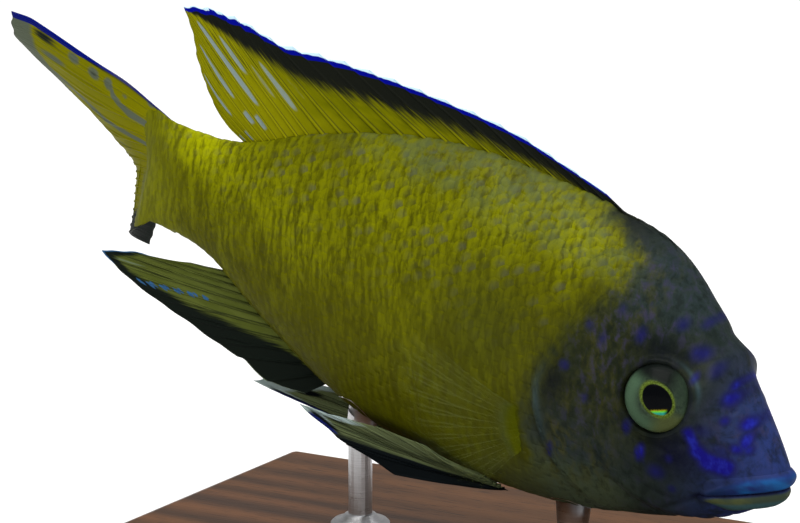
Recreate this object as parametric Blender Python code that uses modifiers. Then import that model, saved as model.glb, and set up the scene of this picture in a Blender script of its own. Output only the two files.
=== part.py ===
"""A still, life-size model of a peacock cichlid on a plain display stand.

The fish is laid out straight first: x runs back-to-front with the snout at zero, y to its left, z up.
A place along it is a station, counted from the snout towards the tail as a share of the standard
length, the way fish are measured. The tail half is then bent to the fish's left, and the whole fish
is tipped nose down over the stand. The origin is the middle of the stand's underside.
"""
import math

import bmesh
import bpy
import numpy as np
from mathutils import Matrix, Vector

# Driving sizes, in metres and radians
STANDARD_LENGTH = 0.100
GAP = 0.0003
NOSE_DOWN = math.radians(17.4)
TAIL_TURN = math.radians(10.9)
BASE_SIZE = (0.100, 0.060, 0.008)
BASE_EDGE_ROUND = 0.0012
SNOUT_AHEAD_OF_BASE_MIDDLE = 0.042
BELLY_CLEARANCE = 0.008
ROD_RADIUS = 0.0016
ROD_STATIONS = {"stand_rod_front": 0.27, "stand_rod_rear": 0.60}
FIN_THICKNESS = 0.0011
FIN_EDGE_THICKNESS = 0.0006
GILL_PLATE_THICKNESS = 0.0013

# The rest are shares of the standard length. The gap is one too, so that solids keep it between them.
GAP_SHARE = GAP / STANDARD_LENGTH

# Profiles of the straight body as (station, value), from the snout to the root of the tail fin
BACK_LINE = (
    (0.000, 0.004), (0.020, 0.031), (0.080, 0.091), (0.170, 0.173), (0.250, 0.225),
    (0.330, 0.237), (0.450, 0.239), (0.620, 0.214), (0.780, 0.150), (0.880, 0.097), (1.000, 0.073),
)
BELLY_LINE = (
    (0.000, 0.004), (0.020, -0.040), (0.080, -0.088), (0.170, -0.125), (0.250, -0.152),
    (0.330, -0.170), (0.450, -0.182), (0.620, -0.173), (0.780, -0.117), (0.900, -0.072), (1.000, -0.076),
)
WIDEST_HEIGHT = (
    (0.000, 0.004), (0.080, 0.000), (0.200, 0.015), (0.450, 0.010), (0.800, 0.002), (1.000, 0.000),
)
HALF_WIDTH = (
    (0.000, 0.000), (0.020, 0.030), (0.080, 0.055), (0.170, 0.077), (0.250, 0.088),
    (0.340, 0.090), (0.450, 0.088), (0.620, 0.070), (0.780, 0.046), (0.900, 0.028), (1.000, 0.016),
)
# How pinched the section is above and below its widest height: 1 is an ellipse, less is fuller
BACK_PINCH = (
    (0.000, 0.80), (0.080, 0.78), (0.170, 0.82), (0.250, 0.95), (0.330, 1.12), (0.620, 1.20), (1.000, 1.00),
)
BELLY_PINCH = ((0.000, 0.80), (0.100, 0.85), (0.250, 0.95), (0.620, 1.08), (1.000, 1.00))

# The head swells round each eye and stays narrow between them
EYE_STATION = 0.174
EYE_HEIGHT = 0.057
EYE_SINK = 0.023
EYE_RADII = (0.0455, 0.034, 0.0455)
EYE_FORWARD = math.radians(12)
EYE_UP = math.radians(8)
ORBIT_SWELL = 0.014
ORBIT_STATION = 0.140
ORBIT_REACH = 0.060

# The head ends at the rear edge of the gill covers, which runs furthest back at mid height
GILL_EDGE_STATION = 0.335
GILL_EDGE_RISE = (0.090, 0.135)
GILL_FRONT_STATION = 0.235
GILL_FRONT_BOW = 0.016
GILL_ANGLES = (52.0, 146.0)
GILL_PATCH_RADIUS = 0.090
GILL_EDGE_INSET = 0.002
GILL_BED_OVER = 0.010
STALK_STATION = 0.880
TURN_START = 0.60

MOUTH_FRONT_HEIGHT = -0.006
MOUTH_SLOPE = -0.47
MOUTH_CORNER_STATION = 0.088
MOUTH_HALF_WIDTH = 0.049
UPPER_LIP_RADIUS = 0.0120
LOWER_LIP_RADIUS = 0.0110
LIP_FRONT_STATION = 0.006
LIP_HALF_TURN = 84.0
LIP_CORNER_THINNING = 0.62
JAW_JOINT_STATION = 0.140
JAW_BOTTOM = -0.20

# Rays of the dorsal and anal fins as (root station, length, angle in degrees off the body's line)
DORSAL_RAYS = (
    (0.326, 0.034, 22.0), (0.400, 0.085, 20.0), (0.500, 0.114, 18.0), (0.600, 0.138, 18.3),
    (0.700, 0.169, 20.0), (0.780, 0.197, 27.0), (0.828, 0.234, 30.0), (0.858, 0.154, 26.0),
    (0.876, 0.070, 21.0),
)
ANAL_RAYS = (
    (0.658, 0.050, 45.0), (0.690, 0.105, 20.0), (0.730, 0.175, 14.0), (0.770, 0.242, 11.0),
    (0.805, 0.275, 10.0), (0.832, 0.180, 10.0), (0.856, 0.060, 14.0),
)
MIDDLE_FIN_ROOT_GAP = 1.6 * GAP_SHARE
# Rays of the tail fin from its top edge to its bottom one: how far down the root, length, and rise
# and curl in degrees. They curl most near their roots, by this power of the way along.
TAIL_RAYS = (
    (0.000, 0.350, 3.0, 3.0), (0.120, 0.336, -0.5, 8.0), (0.300, 0.262, -10.0, 36.0),
    (0.500, 0.226, -17.0, 70.0), (0.700, 0.222, -21.0, 75.0), (0.880, 0.214, -25.0, 76.0),
    (1.000, 0.206, -28.0, 75.0),
)
TAIL_CURL_SHAPE = 0.45
TAIL_RISE_SHAPE = 0.8
# Paired fins: root and tip of some rays, from the leading one, as (station, out from the middle, height)
SIDE_FIN_ROOTS = ((0.340, 0.097, -0.036), (0.338, 0.096, -0.060), (0.328, 0.093, -0.088))
SIDE_FIN_TIPS = (
    (0.470, 0.120, 0.012), (0.520, 0.132, 0.008), (0.505, 0.136, -0.050), (0.470, 0.134, -0.098),
    (0.425, 0.128, -0.132), (0.385, 0.118, -0.148), (0.352, 0.108, -0.146),
)
BELLY_FIN_ROOTS = ((0.352, 0.036, -0.172), (0.368, 0.042, -0.169), (0.384, 0.048, -0.165))
RIGHT_BELLY_FIN_TIPS = (
    (0.500, 0.052, -0.212), (0.595, 0.054, -0.201), (0.667, 0.050, -0.184), (0.620, 0.056, -0.176),
    (0.540, 0.060, -0.158), (0.465, 0.062, -0.150),
)
LEFT_BELLY_FIN_TIPS = (
    (0.520, 0.050, -0.222), (0.650, 0.040, -0.222), (0.785, 0.022, -0.220), (0.730, 0.030, -0.195),
    (0.600, 0.048, -0.170), (0.480, 0.058, -0.152),
)
PAIRED_FIN_BOW = 0.004
# How many rays and how many steps along each ray the fins are built with
DORSAL_COUNT = 27
ANAL_COUNT = 14
TAIL_COUNT = 25
SIDE_FIN_COUNT = 15
BELLY_FIN_COUNT = 13
FIN_STEPS = 7
TAIL_FIN_STEPS = 9

AROUND = 28
EYE_SEGMENTS = (18, 10)
ROD_SEGMENTS = 20

# Colours, as linear red, green and blue
OLIVE_YELLOW = (0.33, 0.30, 0.03)
YELLOW = (0.46, 0.42, 0.04)
SLATE = (0.10, 0.12, 0.15)
TURQUOISE = (0.06, 0.22, 0.30)
DARK_SLATE = (0.05, 0.07, 0.09)
FIN_YELLOW = (0.40, 0.37, 0.07)
FIN_BLACK = (0.02, 0.025, 0.03)
PALE_MEMBRANE = (0.35, 0.37, 0.18)
EYE_GREY = (0.20, 0.24, 0.18)
WALNUT = (0.09, 0.05, 0.03)
STEEL = (0.55, 0.55, 0.56)


def through(points, station):
    """A smooth curve through (station, value) points, read at stations. It runs in the square root
    of the station, which rounds off the snout."""
    knots = np.sqrt([p[0] for p in points])
    values = np.array([p[1] for p in points])
    slopes = np.gradient(values, knots)
    x = np.sqrt(np.clip(station, 0.0, None))
    i = np.clip(np.searchsorted(knots, x, side="right") - 1, 0, len(knots) - 2)
    step = knots[i + 1] - knots[i]
    t = (x - knots[i]) / step
    start = (2 * t**3 - 3 * t**2 + 1) * values[i] + (t**3 - 2 * t**2 + t) * step * slopes[i]
    end = (3 * t**2 - 2 * t**3) * values[i + 1] + (t**3 - t**2) * step * slopes[i + 1]
    return start + end


def bent(station, y, z):
    """Places of the straight fish (shares) carried onto its bent middle line, in metres."""
    fine = np.linspace(0.0, 1.6, 801)
    heading = TAIL_TURN * (np.clip(fine - TURN_START, 0.0, None) / (1.0 - TURN_START)) ** 2
    step = fine[1] - fine[0]
    along = np.concatenate([[0.0], np.cumsum(np.cos((heading[1:] + heading[:-1]) / 2) * step)])
    aside = np.concatenate([[0.0], np.cumsum(np.sin((heading[1:] + heading[:-1]) / 2) * step)])
    station, y, z = np.broadcast_arrays(station, y, z)
    turn = np.interp(station, fine, heading)
    front = np.where(station < 0.0, -station, 0.0)
    x = -np.interp(station, fine, along) + front + y * np.sin(turn)
    left = np.interp(station, fine, aside) + y * np.cos(turn)
    return np.stack([x, left, z], axis=-1) * STANDARD_LENGTH


def section(station, angle):
    """The straight body's surface: y and z at a station and an angle round it, 0 at the back."""
    widest = through(WIDEST_HEIGHT, station)
    half = through(HALF_WIDTH, station)
    up, side = np.cos(angle), np.sin(angle)
    pinch = np.where(up >= 0, through(BACK_PINCH, station), through(BELLY_PINCH, station))
    above, below = through(BACK_LINE, station) - widest, widest - through(BELLY_LINE, station)
    reach = np.where(up >= 0, above, below)
    z = widest + reach * up
    near_eye = ((station - ORBIT_STATION) / ORBIT_REACH) ** 2 + ((z - EYE_HEIGHT) / ORBIT_REACH) ** 2
    bulge = ORBIT_SWELL * np.exp(-near_eye) * np.abs(side) ** 0.5
    y = np.sign(side) * (half * np.abs(side) ** pinch + bulge)
    return y, z


def side_at_height(station, height):
    """The body's half width at a station and a height."""
    widest = through(WIDEST_HEIGHT, station)
    above, below = through(BACK_LINE, station) - widest, widest - through(BELLY_LINE, station)
    reach = np.where(height >= widest, above, below)
    up = np.clip((height - widest) / reach, -1.0, 1.0)
    return section(station, np.arccos(up))[0]


def gill_edge(angle):
    """The station of the gill covers' rear edge at an angle round the body."""
    up = np.cos(angle)
    rise = np.where(up >= 0, GILL_EDGE_RISE[0], GILL_EDGE_RISE[1])
    return GILL_EDGE_STATION - rise * np.abs(up) ** 1.6


def new_material(name, colour, roughness, metallic=0.0):
    """One plain material."""
    material = bpy.data.materials.new(name)
    material.use_nodes = True
    shader = material.node_tree.nodes["Principled BSDF"]
    shader.inputs["Base Color"].default_value = (*colour, 1.0)
    shader.inputs["Roughness"].default_value = roughness
    shader.inputs["Metallic"].default_value = metallic
    return material


def new_object(name, vertices, faces, collection, parent, material=None):
    """A mesh object from arrays, with its faces turned outwards."""
    mesh = bpy.data.meshes.new(name)
    mesh.from_pydata(np.asarray(vertices).tolist(), [], faces)
    shape = bmesh.new()
    shape.from_mesh(mesh)
    bmesh.ops.recalc_face_normals(shape, faces=shape.faces)
    shape.to_mesh(mesh)
    shape.free()
    mesh.shade_smooth()
    thing = bpy.data.objects.new(name, mesh)
    if material:
        mesh.materials.append(material)
    collection.objects.link(thing)
    thing.parent = parent
    return thing


def ring_faces(rings, around):
    """Quads between neighbouring closed rings."""
    index = np.arange(rings * around).reshape(rings, around)
    after = np.roll(index, -1, axis=1)
    return np.stack([index[:-1], after[:-1], after[1:], index[1:]], axis=-1).reshape(-1, 4).tolist()


def loft(name, rings, start, end, collection, parent, material=None):
    """A closed solid through rings of points, with a fan to a point at each end."""
    count, around = rings.shape[:2]
    vertices = np.concatenate([rings.reshape(-1, 3), [start, end]])
    first, last = len(vertices) - 2, len(vertices) - 1
    tail = (count - 1) * around
    faces = ring_faces(count, around)
    faces += [(first, (i + 1) % around, i) for i in range(around)]
    faces += [(last, tail + i, tail + (i + 1) % around) for i in range(around)]
    return new_object(name, vertices, faces, collection, parent, material)


def cut(thing, cutter, operation="DIFFERENCE", solver="EXACT"):
    """Cuts one object by another with a Boolean that stays on it."""
    modifier = thing.modifiers.new(f"{operation.lower()} {cutter.name}", "BOOLEAN")
    modifier.operation = operation
    modifier.object = cutter
    modifier.solver = solver


def dish(station, angle, share):
    """The curved parting face inside the body, from its rim (share 1) to the middle line (share 0)."""
    y, z = section(station, angle)
    middle = through(WIDEST_HEIGHT, GILL_EDGE_STATION)
    inside = GILL_EDGE_STATION - (GILL_EDGE_STATION - station) * share**2
    return bent(inside, y * share, middle + (z - middle) * share)


def make_head(collection, parent, material, name="head"):
    """The head as a loft from the snout to the gill covers' rear edge, closed by the parting face."""
    angle = np.linspace(0.0, 2 * np.pi, AROUND, endpoint=False)
    edge = gill_edge(angle)
    shares = np.linspace(0.16, 1.0, 16)
    rings = [bent(edge * t**2, *section(edge * t**2, angle)) for t in shares]
    rings += [dish(edge, angle, share) for share in (0.75, 0.4)]
    snout = bent(0.0, 0.0, through(BACK_LINE, 0.0))
    middle = bent(GILL_EDGE_STATION, 0.0, through(WIDEST_HEIGHT, GILL_EDGE_STATION))
    return loft(name, np.array(rings), snout, middle, collection, parent, material)


def make_trunk(collection, parent, material):
    """The trunk, from just behind the gill covers to the tail stalk."""
    angle = np.linspace(0.0, 2 * np.pi, AROUND, endpoint=False)
    edge = gill_edge(angle)
    front = [dish(edge, angle, share) for share in (0.4, 0.75)]
    stations = [edge + (STALK_STATION - edge) * t for t in np.linspace(0.0, 1.0, 15)]
    rings = front + [bent(station, *section(station, angle)) for station in stations]
    middle = bent(GILL_EDGE_STATION, 0.0, through(WIDEST_HEIGHT, GILL_EDGE_STATION))
    rings = np.array(rings)
    rings[:3, :, 0] -= GAP
    end = bent(STALK_STATION, 0.0, through(WIDEST_HEIGHT, STALK_STATION))
    return loft("trunk", rings, middle - [GAP, 0, 0], end, collection, parent, material)


def make_tail_stalk(collection, parent, material):
    """The narrow stalk that carries the tail fin."""
    angle = np.linspace(0.0, 2 * np.pi, AROUND, endpoint=False)
    stations = np.linspace(STALK_STATION + GAP_SHARE, 1.0, 6)
    rings = np.array([bent(s, *section(np.full(AROUND, s), angle)) for s in stations])
    ends = [bent(s, 0.0, through(WIDEST_HEIGHT, s)) for s in (stations[0], 1.0)]
    return loft("tail_stalk", rings, ends[0], ends[1], collection, parent, material)


def prism(name, outline, collection, parent, half_depth=0.3):
    """A cutter: an outline in (station, height), extruded across the whole fish."""
    count = len(outline)
    vertices = [bent(s, side * half_depth, z) for side in (-1, 1) for s, z in outline]
    faces = [tuple(range(count)), tuple(range(2 * count - 1, count - 1, -1))]
    faces += [(i, (i + 1) % count, count + (i + 1) % count, count + i) for i in range(count)]
    return new_object(name, vertices, faces, collection, parent)


def jaw_outline(under, margin):
    """The lower jaw's side outline: so far under the mouth line, and ahead of the jaw joint."""
    front = -0.05
    corner = MOUTH_CORNER_STATION + 0.010
    line = MOUTH_FRONT_HEIGHT - under
    points = (
        (front, line + MOUTH_SLOPE * front),
        (corner, line + MOUTH_SLOPE * corner),
        (JAW_JOINT_STATION, JAW_BOTTOM),
        (front, JAW_BOTTOM),
    )
    return [(s + margin, z + margin) for s, z in points]


def make_lip(name, above, margin, collection, parent, material=None):
    """A lip: a round bar along the mouth line, right round the snout, thinner at its corners."""
    radius = UPPER_LIP_RADIUS if above else LOWER_LIP_RADIUS
    turn = np.radians(np.linspace(-LIP_HALF_TURN, LIP_HALF_TURN, 15))
    station = MOUTH_CORNER_STATION * (1 - np.cos(turn)) ** 0.9 + LIP_FRONT_STATION
    half = MOUTH_HALF_WIDTH * np.sin(turn)
    thickness = radius * (1 - LIP_CORNER_THINNING * np.abs(turn / turn[-1]) ** 4)
    middle_line = MOUTH_FRONT_HEIGHT + MOUTH_SLOPE * station
    height = middle_line + (1 if above else -1) * (thickness + GAP_SHARE * 0.7)
    path = bent(station, half, height) / STANDARD_LENGTH
    forward = np.gradient(path, axis=0)
    forward /= np.linalg.norm(forward, axis=1, keepdims=True)
    out = np.cross(forward, [0.0, 0.0, 1.0])
    out /= np.linalg.norm(out, axis=1, keepdims=True)
    up = np.cross(out, forward)
    around = np.linspace(0.0, 2 * np.pi, 8, endpoint=False)
    spread = (thickness + margin)[:, None, None]
    across, along_up = np.cos(around)[None, :, None], np.sin(around)[None, :, None]
    ring = spread * (out[:, None] * across + up[:, None] * along_up)
    rings = (path[:, None] + ring) * STANDARD_LENGTH
    ends = [(path[i] + sign * forward[i] * margin) * STANDARD_LENGTH for i, sign in ((0, -1), (-1, 1))]
    return loft(name, rings, ends[0], ends[1], collection, parent, material)


def gill_slab(name, side, margin, over, collection, parent, material=None):
    """A gill cover, or with a margin its bed: a patch of the head's own surface and, under it, the
    same patch drawn in towards the body's middle line, closed by four walls."""
    wider = math.degrees(margin / GILL_PATCH_RADIUS)
    angle = np.radians(np.linspace(GILL_ANGLES[0] - wider, GILL_ANGLES[1] + wider, 10))
    rear = gill_edge(angle) - GILL_EDGE_INSET + margin * 6
    front = GILL_FRONT_STATION + GILL_FRONT_BOW * np.sin(angle) ** 2 - margin
    station = front + (rear - front) * np.linspace(0.0, 1.0, 6)[:, None]
    y, z = section(station, np.broadcast_to(angle, station.shape))
    middle = through(WIDEST_HEIGHT, station)
    depth = GILL_PLATE_THICKNESS / STANDARD_LENGTH + margin
    layers = []
    for inward in (-over, depth):
        keep = 1.0 - inward / GILL_PATCH_RADIUS
        layers.append(bent(station, side * y * keep, middle + (z - middle) * keep))
    rows, columns = station.shape
    count = rows * columns
    index = np.arange(count).reshape(rows, columns)
    corners = [index[:-1, :-1], index[1:, :-1], index[1:, 1:], index[:-1, 1:]]
    patch = np.stack(corners, axis=-1).reshape(-1, 4)
    faces = patch.tolist() + (patch + count).tolist()
    rim = np.concatenate([index[0], index[1:, -1], index[-1, -2::-1], index[-2:0:-1, 0]])
    faces += [(a, b, b + count, a + count) for a, b in zip(rim.tolist(), np.roll(rim, -1).tolist())]
    return new_object(name, np.concatenate(layers).reshape(-1, 3), faces, collection, parent, material)


def fin(name, grid, collection, parent, material):
    """A fin from a grid of points, rays along its first axis and root to edge along its second.
    It is thickest at its root and thins to its edge."""
    rays, steps = grid.shape[:2]
    index = np.arange(rays * steps).reshape(rays, steps)
    corners = [index[:-1, :-1], index[1:, :-1], index[1:, 1:], index[:-1, 1:]]
    faces = np.stack(corners, axis=-1).reshape(-1, 4)
    mesh = bpy.data.meshes.new(name)
    mesh.from_pydata(grid.reshape(-1, 3).tolist(), [], faces.tolist())
    mesh.shade_smooth()
    mesh.materials.append(material)
    thing = bpy.data.objects.new(name, mesh)
    collection.objects.link(thing)
    thing.parent = parent
    group = thing.vertex_groups.new(name="fullness")
    for step in range(steps):
        group.add(index[:, step].tolist(), 1.0 - step / (steps - 1), "REPLACE")
    solidify = thing.modifiers.new("thickness", "SOLIDIFY")
    solidify.thickness = FIN_THICKNESS
    solidify.offset = 0.0
    solidify.use_even_offset = True
    solidify.vertex_group = group.name
    solidify.thickness_vertex_group = FIN_EDGE_THICKNESS / FIN_THICKNESS
    return thing


def spread_knots(knots, count):
    """Columns of a few hand-set rays, read smoothly at count rays."""
    knots = np.array(knots)
    place = np.linspace(0.0, 1.0, len(knots))
    where = np.linspace(0.0, 1.0, count)
    return [np.interp(where, place, knots[:, column]) for column in range(knots.shape[1])]


def middle_fin(name, rays, count, above, collection, parent, material):
    """The dorsal or anal fin. Each ray is (root station, length, angle off the body's line)."""
    root, length, lean = spread_knots(rays, count)
    lean = np.radians(lean)
    sign = 1 if above else -1
    line = BACK_LINE if above else BELLY_LINE
    root_height = through(line, root) + sign * MIDDLE_FIN_ROOT_GAP
    share = np.linspace(0.0, 1.0, FIN_STEPS)[None]
    station = root[:, None] + (length * np.cos(lean))[:, None] * share
    height = root_height[:, None] + sign * (length * np.sin(lean))[:, None] * share
    return fin(name, bent(station, 0.0, height), collection, parent, material)


def paired_fin(name, side, roots, tips, count, collection, parent, material):
    """A fin of a pair. Roots and tips are (station, out, height). The rays' middles bow outwards."""
    root = np.stack(spread_knots(roots, count), axis=-1)
    tip = np.stack(spread_knots(tips, count), axis=-1)
    share = np.linspace(0.0, 1.0, FIN_STEPS)[None, :, None]
    grid = root[:, None] + (tip - root)[:, None] * share
    grid[..., 1] += PAIRED_FIN_BOW * np.sin(np.pi * share[..., 0])
    return fin(name, bent(grid[..., 0], side * grid[..., 1], grid[..., 2]), collection, parent, material)


def tail_fin(collection, parent, material):
    """The tail fin. Its rays leave the stalk and curl to the fish's left, the lower ones the most."""
    place, lengths, rises, curls = np.array(TAIL_RAYS).T
    across = np.linspace(0.0, 1.0, TAIL_COUNT)
    top, bottom = through(BACK_LINE, 1.0), through(BELLY_LINE, 1.0)
    length = np.interp(across, place, lengths)[:, None]
    rise = np.radians(np.interp(across, place, rises))[:, None]
    curl = np.radians(np.interp(across, place, curls))[:, None]
    share = np.linspace(0.0, 1.0, TAIL_FIN_STEPS)[None]
    heading = TAIL_TURN + curl * share**TAIL_CURL_SHAPE
    step = length / (TAIL_FIN_STEPS - 1)
    middle = (heading[:, 1:] + heading[:, :-1]) / 2
    start = np.zeros((TAIL_COUNT, 1))
    back = np.concatenate([start, np.cumsum(np.cos(middle) * step, axis=1)], axis=1)
    aside = np.concatenate([start, np.cumsum(np.sin(middle) * step, axis=1)], axis=1)
    climb = length * np.tan(rise) * share**TAIL_RISE_SHAPE
    root = bent(1.0 + GAP_SHARE, 0.0, top + (bottom - top) * across) / STANDARD_LENGTH
    grid = root[:, None] + np.stack([-back, aside, climb], axis=-1)
    return fin("tail_fin", grid * STANDARD_LENGTH, collection, parent, material)


def make_eye(name, side, margin, collection, parent, material=None):
    """An eyeball: a flattened ball that looks outwards, a little forward and up."""
    mesh = bpy.data.meshes.new(name)
    ball = bmesh.new()
    bmesh.ops.create_uvsphere(ball, u_segments=EYE_SEGMENTS[0], v_segments=EYE_SEGMENTS[1], radius=1.0)
    radii = [(radius + margin) * STANDARD_LENGTH for radius in EYE_RADII]
    along_y = Matrix.Rotation(math.radians(90), 4, "X")
    turn = Matrix.Rotation(-side * EYE_FORWARD, 4, "Z") @ Matrix.Rotation(side * EYE_UP, 4, "X")
    shape = turn @ Matrix.Diagonal((*radii, 1.0)) @ along_y
    bmesh.ops.transform(ball, matrix=shape, verts=ball.verts)
    ball.to_mesh(mesh)
    ball.free()
    mesh.shade_smooth()
    thing = bpy.data.objects.new(name, mesh)
    out = side_at_height(EYE_STATION, EYE_HEIGHT) - EYE_SINK
    thing.location = Vector(bent(EYE_STATION, side * out, EYE_HEIGHT).tolist())
    if material:
        mesh.materials.append(material)
    collection.objects.link(thing)
    thing.parent = parent
    return thing


def make_base(collection, parent, material):
    """The stand's flat base, with softened edges, its underside at zero."""
    bpy.ops.mesh.primitive_cube_add(size=1.0)
    base = bpy.context.object
    base.name = base.data.name = "stand_base"
    base.data.transform(Matrix.Diagonal((*BASE_SIZE, 1.0)))
    base.data.transform(Matrix.Translation((0, 0, BASE_SIZE[2] / 2)))
    for old in base.users_collection:
        old.objects.unlink(base)
    collection.objects.link(base)
    base.parent = parent
    base.data.materials.append(material)
    bevel = base.modifiers.new("soft edges", "BEVEL")
    bevel.width = BASE_EDGE_ROUND
    bevel.segments = 3
    return base


def make_rod(name, station, pose, collection, parent, material):
    """A round rod from the base up to the belly, its top cut to the belly's slope."""
    near = np.array([station - 0.02, station, station + 0.02])
    belly = bent(near, 0.0, through(BELLY_LINE, near))
    before, touch, after = [pose @ Vector(p) for p in belly.tolist()]
    slope = (before.z - after.z) / (before.x - after.x)
    mesh = bpy.data.meshes.new(name)
    rod = bmesh.new()
    radii = {"radius1": ROD_RADIUS, "radius2": ROD_RADIUS}
    bmesh.ops.create_cone(rod, cap_ends=True, segments=ROD_SEGMENTS, depth=1.0, **radii)
    bottom = BASE_SIZE[2] + GAP
    top = touch.z - GAP * 1.5
    for vertex in rod.verts:
        upper = vertex.co.z > 0
        height = top + slope * vertex.co.x if upper else bottom
        vertex.co = Vector((touch.x + vertex.co.x, vertex.co.y, height))
    rod.to_mesh(mesh)
    rod.free()
    mesh.shade_smooth()
    mesh.set_sharp_from_angle(angle=math.radians(40))
    thing = bpy.data.objects.new(name, mesh)
    mesh.materials.append(material)
    collection.objects.link(thing)
    thing.parent = parent
    return thing


def pose_heights():
    """Heights of the belly line under the tipped fish, from the snout, in metres."""
    stations = np.linspace(0.0, 1.0, 101)
    belly = bent(stations, 0.0, through(BELLY_LINE, stations))
    return belly[:, 2] * math.cos(NOSE_DOWN) - belly[:, 0] * math.sin(NOSE_DOWN)


def clear_scene():
    """Removes whatever the scene holds."""
    for thing in list(bpy.data.objects):
        bpy.data.objects.remove(thing, do_unlink=True)


def main():
    """Builds the fish and its stand."""
    clear_scene()
    scene = bpy.context.scene
    parts = bpy.data.collections.new("peacock_cichlid")
    cutters = bpy.data.collections.new("cutters")
    scene.collection.children.link(parts)
    scene.collection.children.link(cutters)

    lowest = float(np.min(pose_heights()))
    snout_height = BASE_SIZE[2] + BELLY_CLEARANCE - lowest
    pose = bpy.data.objects.new("fish_pose", None)
    pose.location = (SNOUT_AHEAD_OF_BASE_MIDDLE, 0.0, snout_height)
    pose.rotation_euler = (0.0, NOSE_DOWN, 0.0)
    parts.objects.link(pose)
    stand = bpy.data.objects.new("stand_place", None)
    parts.objects.link(stand)
    pose_matrix = Matrix.Translation(pose.location) @ Matrix.Rotation(NOSE_DOWN, 4, "Y")

    head = make_head(parts, pose, new_material("head", SLATE, 0.4))
    lower_jaw = make_head(parts, pose, new_material("lower_jaw", DARK_SLATE, 0.4), "lower_jaw")
    cut(head, prism("jaw_parting", jaw_outline(0.0, GAP_SHARE), cutters, pose))
    cut(lower_jaw, prism("jaw_wedge", jaw_outline(LOWER_LIP_RADIUS, 0.0), cutters, pose), "INTERSECT")
    lip_material = new_material("lips", TURQUOISE, 0.35)
    for name, above in (("upper_lip", True), ("lower_lip", False)):
        make_lip(name, above, 0.0, parts, pose, lip_material)
        bed = make_lip(f"{name}_bed", above, GAP_SHARE, cutters, pose)
        cut(head if above else lower_jaw, bed)
    make_trunk(parts, pose, new_material("trunk", OLIVE_YELLOW, 0.45))
    make_tail_stalk(parts, pose, new_material("tail_stalk", YELLOW, 0.45))

    gill_material = new_material("gill_covers", SLATE, 0.4)
    eye_material = new_material("eyes", EYE_GREY, 0.15)
    side_fin_material = new_material("pectoral_fins", PALE_MEMBRANE, 0.5)
    belly_fin_material = new_material("pelvic_fins", FIN_BLACK, 0.5)
    for side, word in ((1, "left"), (-1, "right")):
        make_eye(f"eye_{word}", side, 0.0, parts, pose, eye_material)
        socket = make_eye(f"socket_{word}", side, GAP_SHARE, cutters, pose)
        cut(head, socket, solver="MANIFOLD")
        gill_slab(f"gill_cover_{word}", side, 0.0, 0.0, parts, pose, gill_material)
        bed = gill_slab(f"gill_bed_{word}", side, GAP_SHARE, GILL_BED_OVER, cutters, pose)
        cut(head, bed, solver="MANIFOLD")
        side_fin = (f"pectoral_fin_{word}", side, SIDE_FIN_ROOTS, SIDE_FIN_TIPS, SIDE_FIN_COUNT)
        paired_fin(*side_fin, parts, pose, side_fin_material)
        tips = LEFT_BELLY_FIN_TIPS if side > 0 else RIGHT_BELLY_FIN_TIPS
        belly_fin = (f"pelvic_fin_{word}", side, BELLY_FIN_ROOTS, tips, BELLY_FIN_COUNT)
        paired_fin(*belly_fin, parts, pose, belly_fin_material)

    dorsal_material = new_material("dorsal_fin", FIN_YELLOW, 0.5)
    anal_material = new_material("anal_fin", FIN_BLACK, 0.5)
    middle_fin("dorsal_fin", DORSAL_RAYS, DORSAL_COUNT, True, parts, pose, dorsal_material)
    middle_fin("anal_fin", ANAL_RAYS, ANAL_COUNT, False, parts, pose, anal_material)
    tail_fin(parts, pose, new_material("tail_fin", FIN_YELLOW, 0.5))

    make_base(parts, stand, new_material("stand_wood", WALNUT, 0.4))
    rod_material = new_material("stand_metal", STEEL, 0.25, 1.0)
    for name, station in ROD_STATIONS.items():
        make_rod(name, station, pose_matrix, parts, stand, rod_material)

    for cutter in cutters.objects:
        cutter.hide_render = True
        cutter.display_type = "WIRE"


main()
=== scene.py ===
"""A peacock cichlid on a display stand: its skin, scales, fins and eyes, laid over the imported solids.

The fish is worked out straight first, in shares of its standard length: a station runs from the snout
towards the tail, y to the fish's left and z up. It is then bent along its tail and tipped nose down.
"""

import math

import bpy
import numpy as np
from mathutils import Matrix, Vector


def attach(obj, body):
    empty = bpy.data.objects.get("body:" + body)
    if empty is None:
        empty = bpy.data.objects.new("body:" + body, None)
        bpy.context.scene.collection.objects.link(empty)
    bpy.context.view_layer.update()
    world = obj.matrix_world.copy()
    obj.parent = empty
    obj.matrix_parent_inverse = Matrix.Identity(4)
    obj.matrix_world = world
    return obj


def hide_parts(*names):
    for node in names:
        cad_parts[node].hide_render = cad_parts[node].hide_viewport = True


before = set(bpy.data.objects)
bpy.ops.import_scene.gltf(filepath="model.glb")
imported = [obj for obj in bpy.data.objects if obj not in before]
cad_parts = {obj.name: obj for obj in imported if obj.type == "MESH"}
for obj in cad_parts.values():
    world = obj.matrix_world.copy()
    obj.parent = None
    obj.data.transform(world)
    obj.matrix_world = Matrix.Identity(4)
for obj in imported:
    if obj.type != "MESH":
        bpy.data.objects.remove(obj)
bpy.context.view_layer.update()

# The body, as in the solids: sizes in metres, the rest in shares of the standard length
STANDARD_LENGTH = 0.100
NOSE_DOWN = math.radians(17.4)
TAIL_TURN = math.radians(10.9)
TURN_START = 0.60
BASE_TOP = 0.008
BELLY_CLEARANCE = 0.008
SNOUT_AHEAD = 0.042
ROD_STATIONS = {"front": 0.27, "rear": 0.60}

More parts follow.
